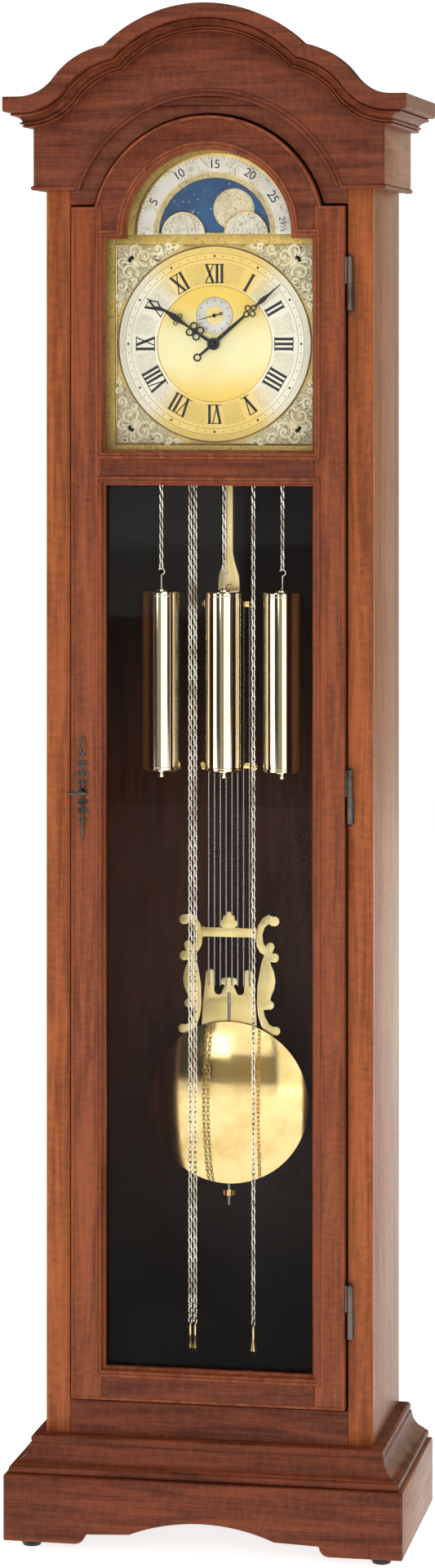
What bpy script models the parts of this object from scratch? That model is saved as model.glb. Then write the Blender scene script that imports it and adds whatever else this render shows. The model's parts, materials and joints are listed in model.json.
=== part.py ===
"""Longcase clock with an arched hood: case, glazed door, moon dial, chain-driven weights and lyre pendulum.

Metres, +Z up. The origin is on the floor under the middle of the case. +X is the clock's right as one
faces it, and the front looks along -Y. The clock stands on four levelling glides.
"""
import math

import bmesh
import bpy
from mathutils import Matrix, Vector

# ---- Clearances ----
GAP = 0.0003          # between pieces that touch
DOOR_GAP = 0.003      # round the door in its frame
RUNNING = 0.0004      # round a turning pin or arbor

# ---- Case ----
BACK_Y = 0.153
TRUNK_HALF = 0.2265
TRUNK_FRONT = -0.098
PANEL = 0.018
BACK_PANEL = 0.012
FRAME_T = 0.022
STILE_W = 0.034
ARCH_Z = 1.7954       # centre of the hood, door, window and moon arches
ROOF_RISE = 0.0131    # roof board above the door's arch
ROOF_T = 0.012

# ---- Plinth ----
PLINTH_OUT = 0.048    # plinth beyond the trunk's sides
PLINTH_FRONT_OUT = 0.055
PLINTH_BOTTOM = 0.012
PLINTH_TOP = 0.102
MOULDING_TOP = 0.150
CASE_FOOT = 0.050     # foot of the trunk, hidden in the plinth above its arched apron
FOOT_LEN = 0.100      # plinth's flat feet, from its corners to the apron
APRON_STEP = 0.0135   # rise from a foot to the apron
APRON_HALF = 0.100
APRON_SPRING = 0.028  # where the apron's arch starts
APRON_RISE = 0.0475
BLOCK_LAP = 0.001     # glide blocks into the boards they are glued to
# (out, up) round the base moulding from the trunk's side and the plinth's top
BASE_SECTION = ((0.0415, 0), (0.0415, 0.010), (0.036, 0.014), (0.026, 0.019), (0.018, 0.029),
                (0.0150, 0.0407), (0.0125, 0.0417))
GLIDE_R = 0.014
GLIDE_EDGE = 0.002
GLIDE_PAD = 0.004     # height of the glide's rubber rim
GLIDE_BORE_OVER = 0.006
GLIDE_STEM_R = 0.004
GLIDE_STEM_TOP = 0.045
BLOCK_TOP = 0.080
BLOCK_DEEP = 0.030
GLIDE_IN = 0.0153     # glides from the ends of their blocks

# ---- Hood and crown ----
HOOD_OUT = 0.017
HOOD_FRONT_OUT = 0.009
HOOD_BOTTOM = ARCH_Z + 0.0612
HOOD_REVEAL = 0.0264  # hood arch beyond the door arch
CROWN_OUT = 0.035
CROWN_LOWER_OUT = 0.023
# (top edge, lower edge) of the crown: the middle arch, the shoulder beside it and the cove to the flat end.
# Drops are below the top of the flat end, and the arch is given by how far it passes the hood's arch.
CROWN_ARCH_DROP = (0.0706, 0.0644)
CROWN_ARCH_OVER = (0.0077, -0.0362)
CROWN_SHOULDER_IN = (0.1245, 0.1445)
CROWN_SHOULDER_DROP = (0.0400, 0.0600)
CROWN_SHOULDER_R = (0.110, 0.095)
CROWN_COVE_R = (0.062, 0.090)
CROWN_END_DEEP = 0.042
CROWN_LAP = 0.004     # lower band of the crown behind its upper one
CROWN_TIP_LAP = 0.010
# (out, up) round the crown's returns from the hood's side and the crown's foot
CROWN_SECTION = ((0, 0), (0.008, 0), (0.010, 0.006), (0.020, 0.014), (0.024, 0.0185), (0.0335, 0.0205),
                 (CROWN_OUT, 0.024))

# ---- Door ----
DOOR_OUT = 0.010      # door face beyond the case frame
DOOR_BOTTOM = 0.1985
SHOULDER_Z = ARCH_Z + 0.0371
SHOULDER_W = 0.0279
SIGHT_HALF = 0.1472
SIGHT_BOTTOM = 0.239
LOWER_SIGHT_TOP = ARCH_Z - 0.3404
UPPER_SIGHT_BOTTOM = ARCH_Z - 0.2994
WINDOW_SHOULDER = 0.003
WINDOW_ARCH_R = 0.118
GLASS_T = 0.003
GLASS_LAP = 0.010
PANE_TOP_LAP = 0.008
PANE_STEP = 0.001     # dial pane's shoulder above the arch centre
HINGE_R = 0.0047
HINGE_PIN_R = 0.0022
HINGE_LEN = 0.072
HINGE_OFF = 0.0065    # pin beyond the door's edge
HINGE_PIN_END = 0.002
HINGE_LEAF_T = 0.0014
HINGE_LEAF_OUT = 0.0058
HINGE_ARM_IN = 0.003
HINGE_ARM = (0.0022, 0.003)  # in front of the pin and behind it
HINGE_WING_T = 0.0012
HINGE_WING_IN = 0.003
HINGE_UP = (0.332, 1.0305, ARCH_Z - 0.0684)

# ---- Lock ----
LOCK_IN = 0.0165      # keyhole from the door's edge
LOCK_Z = 1.032
KEYHOLE_R = 0.0032
KEY_R = 0.0024
ESCUTCHEON_T = 0.0022
ESCUTCHEON_HALF = 0.0715
ESCUTCHEON_UP = 0.0045       # its middle above the keyhole
ESCUTCHEON_WAIST = (0.0045, 0.0080, 0.0060, 0.0080, 0.0070, 0.0080, 0.0055, 0.0080, 0.0045)
TONGUE_LEN = 0.024
TONGUE_HALF = 0.004
TONGUE_HEEL = 0.006
TONGUE_T = 0.003
BOW_WIDE = 0.0140
BOW_DEEP = 0.0070
BOW_T = 0.0028
BOW_LAP = 0.0008
COLLAR = (0.004, 0.007)      # key's collar, from the shaft's end
COLLAR_OVER = 0.0012
SHAFT_OUT = 0.0230    # key's shaft in front of the door
SHAFT_BEYOND = 0.010  # and behind it

# ---- Dial and hands ----
DIAL_HALF = 0.140
DIAL_FRONT = -0.052
DIAL_T = 0.002
DIAL_DROP = 0.1508    # dial centre under the arch centre
DIAL_ARCH_R = 0.1225
MOON_OPENING_R = 0.078
MOON_HUMP_R = 0.030
MOON_HUMP_X = 0.044
MOON_SILL = 0.002
SECONDS_UP = 0.039
CENTRE_ARBOR_R = 0.002
SECONDS_ARBOR_R = 0.0012
PIPE_WALL = 0.0012
DIAL_HOLE_OVER = 0.002
HAND_T = 0.001
HOUR_OUT = 0.0095     # hands in front of the dial
MINUTE_OUT = 0.0145
SECONDS_OUT = 0.0045
HOUR_BOSS = 0.009
MINUTE_BOSS = 0.008
SECONDS_BOSS = 0.0030
MINUTE_TAIL = -0.033
SECONDS_TAIL = -0.010
# (half width, distance) outwards from each hand's boss
HOUR_BODY = ((0.0065, 0.012), (0.0028, 0.045), (0.0060, 0.070), (0.0035, 0.084), (0.0008, 0.113))
MINUTE_BODY = ((0.0055, 0.012), (0.0025, 0.060), (0.0045, 0.085), (0.0020, 0.100), (0.0006, 0.125))
SECONDS_BODY = ((0.0012, 0.003), (0.0004, 0.022))
PIPE_CLEAR = 0.012    # hour pipe short of the front plate
MOON_T = 0.0014
MOON_ARBOR_CLEAR = 0.004
HOUR_ANGLE = -56.0
MINUTE_ANGLE = 49.0
SECONDS_ANGLE = 255.0

# ---- Movement ----
SEAT_T = 0.016
SEAT_TOP = ARCH_Z - 0.3170
SEAT_BEHIND = 0.004   # seat board behind the dial
CHAIN_SLOT_OVER = 0.010
CHAIN_SLOT_HALF = 0.018
SWING_SLOT = (0.035, 0.012)  # half width and half depth round the pendulum's leader
PLATE_T = 0.0025
FRONT_PLATE_Y = -0.030
BACK_PLATE_Y = 0.0345
PLATE_TOP = ARCH_Z - 0.0950
PILLAR_R = 0.0035
PILLAR_IN = 0.006     # pillars from the plates' edges
PILLAR_CLEAR = 0.004  # chain to pillar
PILLAR_END = 0.010    # pillars from the plates' ends
PIVOT_BORE = 0.004
POST_HALF = 0.008
POST_UP = (0.008, 0.016)     # suspension post above the pivot
POST_BEYOND = 0.004
ANCHOR_Y = 0.014
ANCHOR_T = 0.0025
ANCHOR_ARBOR_R = 0.0016
ARBOR_OUT = 0.009     # anchor's arbor behind the back plate
# (across, up) round the anchor from its arbor, right half
ANCHOR_HALF = ((0.013, -0.008), (0.017, -0.026), (0.021, -0.026), (0.018, -0.001), (0.004, 0.005))
CRUTCH_LEN = 0.092
CRUTCH_HALF = 0.002
CRUTCH_IN = 0.003
CRUTCH_PIN = (0.0015, 0.004)  # half width and height
CHAIN_Y = 0.005
CHAIN_WHEEL_R = 0.0205
CHAIN_R = 0.0025
WHEEL_Z = ARCH_Z - 0.2204
GEAR_OVER = 0.002     # great wheel beyond its chain
GEAR_BACK = 0.009     # great wheel behind the chain's middle
FLANGE_T = 0.0015
WHEEL_ARBOR_R = 0.002
FREE_X = {"left": -0.045, "middle": -0.038, "right": 0.044}
WEIGHT_SIDE = {"left": -1, "middle": 1, "right": 1}

# ---- Weights ----
WEIGHT_R = 0.027
WEIGHT_LEN = 0.250
WEIGHT_TOP = ARCH_Z - 0.4944
HOOK_LEN = 0.032
HOOK_R = 0.0025
CAP_R = 0.008
CAP_T = 0.004
CAP_NECK = 0.002
SHELL_EDGE = 0.001
FOOT_NUT = ((0.007, 0), (0.007, 0.004), (0.003, 0.010), (0, 0.012))  # (radius, drop) under the shell
FREE_END_Z = 0.2825
FREE_END_LEN = 0.0425
FREE_END = ((0.0022, 0), (0.0028, 0.012), (0.0034, 0.022), (0.0034, 0.036), (0.0020, FREE_END_LEN))

# ---- Pendulum ----
PENDULUM_Y = 0.058
PIVOT_Z = ARCH_Z - 0.1404
LEADER_HALF = 0.0055
LEADER_THIN = 0.0015  # half its thickness
LEADER_OVER = 0.0077  # leader above its pivot
LEADER_LAP = 0.010
FLARE_HALF = 0.015
FLARE_UP = 0.045
GRID_BAR = (0.0035, 0.004)   # half depth and half height
GRID_OVER = (0.005, 0.0075, 0.004)  # top, middle and foot bars beyond the outer rods
LYRE_DEEP = (0.0004, 0.0028)
LYRE_UP = 0.012       # lyre's top above the foot bar
LYRE_LAP = 0.012      # and its foot behind the bob
LEADER_FOOT = 1.300
GRID_TOP = 1.280
GRID_MIDDLE = 1.054
GRID_FOOT = 0.825
ROD_FOOT = 0.760
ROD_R = 0.0014
ROD_PITCH = 0.0083
ROD_COUNT = 8
BOB_R = 0.1135
BOB_Z = 0.582
BOB_RISE = 0.0130
BOB_RIM = 0.0012
NUT_R = 0.008
NUT_DROP = (0.008, 0.018)    # nut's top and foot under the bob
HANGER_R = 0.0023
HANGER_OUT = 0.0315   # hanger below the bob
HANGER_UP = 0.030
ROD_Y_OFF = 0.001     # hanger behind the rods

# ---- Sizes worked out from the ones above ----
PLINTH_HALF = TRUNK_HALF + PLINTH_OUT
PLINTH_FRONT = TRUNK_FRONT - PLINTH_FRONT_OUT
FRAME_BACK = TRUNK_FRONT + FRAME_T
HOOD_HALF = TRUNK_HALF + HOOD_OUT
HOOD_FRONT = TRUNK_FRONT - HOOD_FRONT_OUT
CROWN_HALF = HOOD_HALF + CROWN_OUT
OPENING_HALF = TRUNK_HALF - STILE_W
DOOR_HALF = OPENING_HALF - DOOR_GAP
DOOR_FRONT = TRUNK_FRONT - DOOR_OUT
DOOR_BACK = DOOR_FRONT + FRAME_T
DOOR_ARCH_R = DOOR_HALF - SHOULDER_W
HOOD_ARCH_R = DOOR_ARCH_R + HOOD_REVEAL
ROOF_UNDER = ARCH_Z + DOOR_ARCH_R + ROOF_RISE
CROWN_TOP = ROOF_UNDER + ROOF_T + 3 * GAP
INNER_HALF = TRUNK_HALF - PANEL
DIAL_Z = ARCH_Z - DIAL_DROP
DIAL_FOOT = DIAL_Z - DIAL_HALF
PLATE_FOOT = SEAT_TOP + GAP
WHEEL_X = {name: x + WEIGHT_SIDE[name] * CHAIN_WHEEL_R for name, x in FREE_X.items()}
CHAIN_REACH = max(abs(x) for x in WHEEL_X.values()) + CHAIN_WHEEL_R
PILLAR_X = CHAIN_REACH + CHAIN_R + PILLAR_CLEAR + PILLAR_R
PLATE_HALF = PILLAR_X + PILLAR_IN
GEAR_R = CHAIN_WHEEL_R + GEAR_OVER
LOCK_X = -(DOOR_HALF - LOCK_IN)
HINGE_X = DOOR_HALF + HINGE_OFF
HINGE_Y = TRUNK_FRONT - HINGE_R - 2 * GAP
WEIGHT_FOOT = WEIGHT_TOP - WEIGHT_LEN
HANGER_FOOT = BOB_Z - BOB_R - HANGER_OUT
BOB_BACK = PENDULUM_Y - HANGER_R - 2 * GAP

WOOD = (0.20, 0.055, 0.030)
DARK_WOOD = (0.060, 0.018, 0.012)
BRASS = (0.80, 0.58, 0.22)
PEWTER = (0.16, 0.15, 0.14)
BLACK = (0.015, 0.015, 0.016)
GLASS = (0.85, 0.88, 0.87)
BLUE = (0.010, 0.045, 0.150)

for leftover in list(bpy.data.objects):
    bpy.data.objects.remove(leftover, do_unlink=True)

parts = bpy.data.collections.new("longcase_clock")
cutters = bpy.data.collections.new("cutters")
for group in (parts, cutters):
    bpy.context.scene.collection.children.link(group)


# ---- Making pieces ----
def material(name, colour, roughness, metallic):
    made = bpy.data.materials.new(name)
    made.use_nodes = True
    shader = made.node_tree.nodes["Principled BSDF"]
    shader.inputs["Base Color"].default_value = (*colour, 1.0)
    shader.inputs["Roughness"].default_value = roughness
    shader.inputs["Metallic"].default_value = metallic
    return made


def piece(name, mesh, finish):
    """Links one sub-part; finish is (colour, roughness, metallic)."""
    obj = bpy.data.objects.new(name, mesh)
    mesh.materials.append(material(name, *finish))
    parts.objects.link(obj)
    return obj


def helper(name, mesh):
    """Links a mesh that only cuts or joins another."""
    obj = bpy.data.objects.new(name, mesh)
    obj.hide_render = True
    obj.display_type = "WIRE"
    cutters.objects.link(obj)
    return obj


def box_mesh(name, low, high):
    low, high = Vector(low), Vector(high)
    form = bmesh.new()
    bmesh.ops.create_cube(form, size=1.0)
    bmesh.ops.scale(form, vec=high - low, verts=form.verts)
    bmesh.ops.translate(form, vec=(low + high) / 2, verts=form.verts)
    mesh = bpy.data.meshes.new(name)
    form.to_mesh(mesh)
    form.free()
    return mesh


def rod_mesh(name, start, end, radius, sides=12):
    """A round bar from start to end, which differ along one axis."""
    start, end = Vector(start), Vector(end)
    run = end - start
    form = bmesh.new()
    bmesh.ops.create_cone(form, cap_ends=True, segments=sides, radius1=radius, radius2=radius,
                          depth=run.length)
    turn = Vector((0, 0, 1)).rotation_difference(run.normalized()).to_matrix().to_4x4()
    bmesh.ops.transform(form, matrix=Matrix.Translation((start + end) / 2) @ turn, verts=form.verts)
    mesh = bpy.data.meshes.new(name)
    form.to_mesh(mesh)
    form.free()
    for face in mesh.polygons:
        face.use_smooth = True
    mesh.set_sharp_from_angle(angle=math.radians(50))
    return mesh


def plate_mesh(name, loops, front, back):
    """A flat outline in X and Z, with any further loops as holes, between two depths."""
    outline = bpy.data.curves.new(name, "CURVE")
    outline.dimensions = "2D"
    outline.fill_mode = "BOTH"
    outline.extrude = (back - front) / 2
    for loop in loops:
        spline = outline.splines.new("POLY")
        spline.points.add(len(loop) - 1)
        spline.use_cyclic_u = True
        for point, (x, z) in zip(spline.points, loop):
            point.co = (x, z, 0, 1)
    guide = bpy.data.objects.new(name, outline)
    cutters.objects.link(guide)
    bpy.context.view_layer.update()
    graph = bpy.context.evaluated_depsgraph_get()
    mesh = bpy.data.meshes.new_from_object(guide.evaluated_get(graph))
    bpy.data.objects.remove(guide, do_unlink=True)
    form = bmesh.new()
    form.from_mesh(mesh)
    bmesh.ops.remove_doubles(form, verts=form.verts, dist=0.00001)
    stand_up = Matrix.Translation((0, (front + back) / 2, 0)) @ Matrix.Rotation(math.radians(90), 4, "X")
    bmesh.ops.transform(form, matrix=stand_up, verts=form.verts)
    bmesh.ops.recalc_face_normals(form, faces=form.faces)
    form.to_mesh(mesh)
    form.free()
    return mesh


def turned(obj, profile, centre, axis="Z", steps=24):
    """Gives obj a turned shape: profile is (radius, height) from the top down its outer side."""
    mesh = obj.data
    mesh.vertices.add(len(profile))
    mesh.edges.add(len(profile) - 1)
    for vertex, (radius, height) in zip(mesh.vertices, profile):
        vertex.co = (radius, 0, height)
    for index, edge in enumerate(mesh.edges):
        edge.vertices = (index, index + 1)
    screw = obj.modifiers.new("turned", "SCREW")
    screw.steps = steps
    screw.render_steps = steps
    screw.use_merge_vertices = True
    screw.merge_threshold = 0.00005
    screw.use_smooth_shade = True
    obj.location = centre
    if axis == "Y":
        obj.rotation_euler = (math.radians(-90), 0, 0)
    return obj


def swept_mesh(name, sections):
    """A solid through sections that have the same number of corners."""
    form = bmesh.new()
    rings = []
    for section in sections:
        ring = [form.verts.new(corner) for corner in section]
        edges = [form.edges.new((ring[at - 1], ring[at])) for at in range(len(ring))]
        rings.append((ring, edges))
    for (_, before), (_, after) in zip(rings, rings[1:]):
        bmesh.ops.bridge_loops(form, edges=before + after)
    for ring in (rings[0][0], rings[-1][0]):
        form.faces.new(ring)
    bmesh.ops.recalc_face_normals(form, faces=form.faces)
    mesh = bpy.data.meshes.new(name)
    form.to_mesh(mesh)
    form.free()
    return mesh


def tube_mesh(name, points, radius):
    """A round tube along points, with closed ends."""
    guide_curve = bpy.data.curves.new(name, "CURVE")
    guide_curve.dimensions = "3D"
    guide_curve.bevel_depth = radius
    guide_curve.bevel_resolution = 2
    guide_curve.use_fill_caps = True
    spline = guide_curve.splines.new("POLY")
    spline.points.add(len(points) - 1)
    for point, place in zip(spline.points, points):
        point.co = (*place, 1)
    guide = bpy.data.objects.new(name, guide_curve)
    cutters.objects.link(guide)
    bpy.context.view_layer.update()
    mesh = bpy.data.meshes.new_from_object(guide.evaluated_get(bpy.context.evaluated_depsgraph_get()))
    bpy.data.objects.remove(guide, do_unlink=True)
    form = bmesh.new()
    form.from_mesh(mesh)
    bmesh.ops.remove_doubles(form, verts=form.verts, dist=0.00001)
    bmesh.ops.recalc_face_normals(form, faces=form.faces)
    form.to_mesh(mesh)
    form.free()
    return mesh


def combine(obj, meshes, operation):
    """Joins meshes to obj, or cuts them out of it, one Boolean each."""
    for mesh in meshes:
        other = helper(mesh.name, mesh)
        step = obj.modifiers.new(operation.lower(), "BOOLEAN")
        step.operation = operation
        step.solver = "EXACT"
        step.object = other


def fuse(obj, *meshes):
    combine(obj, meshes, "UNION")


def cut(obj, *meshes):
    combine(obj, meshes, "DIFFERENCE")


def on_axis(name, place, members):
    """Parents members to an empty that stands on their joint's axis."""
    pivot = bpy.data.objects.new(name, None)
    pivot.location = place
    parts.objects.link(pivot)
    for member in members:
        member.parent = pivot
        member.matrix_parent_inverse = Matrix.Translation(-Vector(place))


# ---- Outlines ----
def arc(x, z, radius, start, end, steps):
    turn = [math.radians(start + (end - start) * step / steps) for step in range(steps + 1)]
    return [(x + radius * math.cos(a), z + radius * math.sin(a)) for a in turn]


def rectangle(left, right, low, high):
    return [(left, low), (right, low), (right, high), (left, high)]


def mirrored(half):
    """A whole outline from the points of its right half, which run from one end to the other."""
    return half + [(-x, z) for x, z in reversed(half) if abs(x) > 1e-9]


def share_of(pair, share):
    return pair[0] + (pair[1] - pair[0]) * share


def crown_line(share, half):
    """The crown's line from its middle out to half; share 0 is the top edge and 1 the lower edge."""
    arch_z = CROWN_TOP - share_of(CROWN_ARCH_DROP, share)
    arch_r = HOOD_ARCH_R + share_of(CROWN_ARCH_OVER, share)
    side_x = HOOD_HALF - share_of(CROWN_SHOULDER_IN, share)
    side_z = CROWN_TOP - share_of(CROWN_SHOULDER_DROP, share)
    side_r = share_of(CROWN_SHOULDER_R, share)
    cove_r = share_of(CROWN_COVE_R, share)
    end_z = CROWN_TOP - CROWN_END_DEEP * share
    cove_z = end_z + cove_r
    reach = side_r + cove_r
    cove_x = side_x + math.sqrt(reach ** 2 - (cove_z - side_z) ** 2)
    # where the arch meets the shoulder
    across, up = side_x, side_z - arch_z
    apart = math.hypot(across, up)
    along = (apart ** 2 + arch_r ** 2 - side_r ** 2) / (2 * apart)
    off = math.sqrt(arch_r ** 2 - along ** 2)
    meet_x = (along * across - off * up) / apart
    meet_z = arch_z + (along * up + off * across) / apart
    arch_end = math.degrees(math.atan2(meet_z - arch_z, meet_x))
    side_start = math.degrees(math.atan2(meet_z - side_z, meet_x - side_x))
    side_end = math.degrees(math.atan2(cove_z - side_z, cove_x - side_x))
    line = arc(0, arch_z, arch_r, 90, arch_end, 10)
    line += arc(side_x, side_z, side_r, side_start, side_end, 8)[1:]
    line += arc(cove_x, cove_z, cove_r, side_end + 180, 270, 6)[1:]
    if half < cove_x:
        end_z = cove_z - math.sqrt(cove_r ** 2 - (cove_x - half) ** 2)
    return [point for point in line if point[0] < half - 0.0005] + [(half, end_z)]


def band(low_line, high_line):
    """The outline between two lines that both run from the middle outwards."""
    right = high_line + list(reversed(low_line))
    return right + [(-x, z) for x, z in low_line[1:]] + [(-x, z) for x, z in reversed(high_line[1:])]


# ---- Case ----
wood = (WOOD, 0.35, 0.0)
dark_wood = (DARK_WOOD, 0.6, 0.0)
brass = (BRASS, 0.22, 1.0)
pewter = (PEWTER, 0.45, 1.0)


def make_plinth():
    half, toe = PLINTH_HALF, PLINTH_BOTTOM
    foot_in, step_top, sagitta = half - FOOT_LEN, toe + APRON_STEP, APRON_RISE - APRON_SPRING
    arch_radius = (APRON_HALF ** 2 + sagitta ** 2) / (2 * sagitta)
    spread = math.degrees(math.asin(APRON_HALF / arch_radius))
    right = arc(0, APRON_RISE - arch_radius, arch_radius, 90, 90 - spread, 8)
    right += [(foot_in - APRON_STEP, step_top)]
    right += arc(foot_in, step_top, APRON_STEP, 180, 270, 4)[1:]
    right += [(half, toe), (half, PLINTH_TOP)]
    back = PLINTH_FRONT + PANEL
    piece("plinth_front", plate_mesh("plinth_front", [mirrored(right)], PLINTH_FRONT, back), wood)
    for side, name in ((-1, "left"), (1, "right")):
        inner, outer = half - PANEL, half
        block_in = TRUNK_HALF + GAP
        low = (min(side * inner, side * outer), back + GAP, toe)
        high = (max(side * inner, side * outer), BACK_Y, PLINTH_TOP)
        board = piece("plinth_" + name, box_mesh("board", low, high), wood)
        for number, y0 in enumerate((back + GAP, BACK_Y - BLOCK_DEEP)):
            ends = sorted((side * block_in, side * (inner + BLOCK_LAP)))
            corner = (ends[1], y0 + BLOCK_DEEP, BLOCK_TOP)
            fuse(board, box_mesh(f"block_{name}_{number}", (ends[0], y0, toe), corner))
        for y in glide_depths():
            x = side * (block_in + inner) / 2
            bore = rod_mesh(f"bore_{name}_{y:.2f}", (x, y, 0), (x, y, GLIDE_STEM_TOP + GLIDE_BORE_OVER),
                            GLIDE_STEM_R + RUNNING)
            cut(board, bore)


def glide_depths():
    return PLINTH_FRONT + PANEL + GLIDE_IN, BACK_Y - GLIDE_IN


def make_glides():
    inner = (TRUNK_HALF + GAP + PLINTH_HALF - PANEL) / 2
    for side, side_name in ((-1, "left"), (1, "right")):
        for y, depth_name in zip(glide_depths(), ("front", "back")):
            name = f"glide_{depth_name}_{side_name}"
            pad_top = PLINTH_BOTTOM - GAP
            profile = [(0, GLIDE_STEM_TOP), (GLIDE_STEM_R, GLIDE_STEM_TOP), (GLIDE_STEM_R, pad_top),
                       (GLIDE_R - GLIDE_EDGE, pad_top), (GLIDE_R, GLIDE_PAD), (GLIDE_R - GLIDE_EDGE, 0),
                       (0, 0)]
            glide = piece(name, bpy.data.meshes.new(name), (BLACK, 0.5, 0.0))
            turned(glide, profile, (side * inner, y, 0), steps=16)


def make_base_moulding():
    low, high = PLINTH_TOP + GAP, MOULDING_TOP
    section = [(GAP, low)] + [(out, low + up) for out, up in BASE_SECTION]
    section += [(BASE_SECTION[-1][0], high), (GAP, high)]
    extra = PLINTH_FRONT_OUT - PLINTH_OUT - BLOCK_LAP

    def corner(side, out, z, at_back):
        front = TRUNK_FRONT - out - (extra if out > GAP else 0)
        return (side * (TRUNK_HALF + out), BACK_Y if at_back else front, z)

    stops = ((-1, True), (-1, False), (1, False), (1, True))
    sections = [[corner(side, out, z, at_back) for out, z in section] for side, at_back in stops]
    piece("base_moulding", swept_mesh("base_moulding", sections), wood)


def make_carcass():
    foot = CASE_FOOT
    for side, name in ((-1, "left"), (1, "right")):
        ends = sorted((side * INNER_HALF, side * TRUNK_HALF))
        panel = box_mesh("side", (ends[0], FRAME_BACK + GAP, foot), (ends[1], BACK_Y, ROOF_UNDER))
        piece("side_panel_" + name, panel, wood)
        ends = sorted((side * OPENING_HALF, side * TRUNK_HALF))
        stile = box_mesh("stile", (ends[0], TRUNK_FRONT, foot), (ends[1], FRAME_BACK, ROOF_UNDER))
        piece("frame_stile_" + name, stile, wood)
    inside, rail = INNER_HALF - GAP, OPENING_HALF - GAP
    back = box_mesh("back", (-inside, BACK_Y - BACK_PANEL, foot), (inside, BACK_Y, ROOF_UNDER))
    piece("back_panel", back, dark_wood)
    floor_top = MOULDING_TOP - 0.002
    floor = box_mesh("floor", (-inside, FRAME_BACK + GAP, floor_top - PANEL),
                     (inside, BACK_Y - BACK_PANEL - GAP, floor_top))
    piece("floor_panel", floor, dark_wood)
    low_rail = box_mesh("low_rail", (-rail, TRUNK_FRONT, foot), (rail, FRAME_BACK, DOOR_BOTTOM - DOOR_GAP))
    piece("frame_bottom_rail", low_rail, wood)
    cut_r = DOOR_ARCH_R + DOOR_GAP
    shoulder = SHOULDER_Z + DOOR_GAP
    start = math.degrees(math.asin((shoulder - ARCH_Z) / cut_r))
    half = arc(0, ARCH_Z, cut_r, 90, start, 14) + [(rail, shoulder), (rail, ROOF_UNDER)]
    piece("frame_top_rail", plate_mesh("top_rail", [mirrored(half)], TRUNK_FRONT, FRAME_BACK), wood)
    roof = box_mesh("roof", (-TRUNK_HALF, TRUNK_FRONT + GAP, ROOF_UNDER + GAP),
                    (TRUNK_HALF, BACK_Y, ROOF_UNDER + GAP + ROOF_T))
    piece("roof_panel", roof, dark_wood)


def make_seat_board():
    inside = INNER_HALF - GAP
    back = BACK_Y - BACK_PANEL - GAP
    front = DIAL_FRONT + DIAL_T + SEAT_BEHIND
    seat = box_mesh("seat", (-inside, front, SEAT_TOP - SEAT_T), (inside, back, SEAT_TOP))
    board = piece("seat_board", seat, dark_wood)
    reach = CHAIN_REACH + CHAIN_SLOT_OVER
    low, high = SEAT_TOP - 2 * SEAT_T, SEAT_TOP + SEAT_T
    chain_slot = box_mesh("chain_slot", (-reach, CHAIN_Y - CHAIN_SLOT_HALF, low),
                          (reach, CHAIN_Y + CHAIN_SLOT_HALF, high))
    half, deep = SWING_SLOT
    swing_slot = box_mesh("swing_slot", (-half, PENDULUM_Y - deep, low), (half, PENDULUM_Y + deep, high))
    cut(board, chain_slot, swing_slot)


# ---- Hood and crown ----
def make_hood():
    spring = math.degrees(math.asin((HOOD_BOTTOM - ARCH_Z) / HOOD_ARCH_R))
    arch = arc(0, ARCH_Z, HOOD_ARCH_R, 90, spring, 14)
    top = crown_line(0.5, HOOD_HALF)
    outline = band(arch + [(HOOD_HALF, HOOD_BOTTOM)], top)
    back = TRUNK_FRONT - GAP
    piece("hood_front", plate_mesh("hood_front", [outline], HOOD_FRONT, back), wood)
    low, high = CROWN_TOP - CROWN_END_DEEP, CROWN_TOP
    crown_section = [(out, low + up) for out, up in CROWN_SECTION] + [(CROWN_OUT, high), (0, high)]
    for side, name in ((-1, "left"), (1, "right")):
        inner = TRUNK_HALF + GAP
        board = [(side * inner, HOOD_BOTTOM), (side * HOOD_HALF, HOOD_BOTTOM)]
        board += [(side * (HOOD_HALF + out), z) for out, z in crown_section[:-1]]
        board += [(side * inner, high)]
        hood_side = piece("hood_side_" + name,
                          plate_mesh("hood_side", [board], TRUNK_FRONT + GAP, BACK_Y), wood)
        tip = [(side * (HOOD_HALF + max(out, GAP)), z) for out, z in crown_section]
        fuse(hood_side, plate_mesh("tip_" + name, [tip], HOOD_FRONT + GAP,
                                        TRUNK_FRONT + CROWN_TIP_LAP))
    back = HOOD_FRONT - GAP
    upper = band(crown_line(0.5, CROWN_HALF), crown_line(0, CROWN_HALF))
    lower = band(crown_line(1, HOOD_HALF + CROWN_LOWER_OUT), crown_line(0.3, HOOD_HALF + CROWN_LOWER_OUT))
    crown = piece("crown_front", plate_mesh("crown", [upper], HOOD_FRONT - CROWN_OUT, back), wood)
    fuse(crown, plate_mesh("crown_lower", [lower], HOOD_FRONT - CROWN_LOWER_OUT + CROWN_LAP, back))


# ---- Door ----
def window_head(radius, shoulder_z, steps):
    """The right half of the upper window's top, from the middle of its arch to the shoulder."""
    start = math.degrees(math.asin((shoulder_z - ARCH_Z) / radius))
    return arc(0, ARCH_Z, radius, 90, start, steps)


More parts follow.
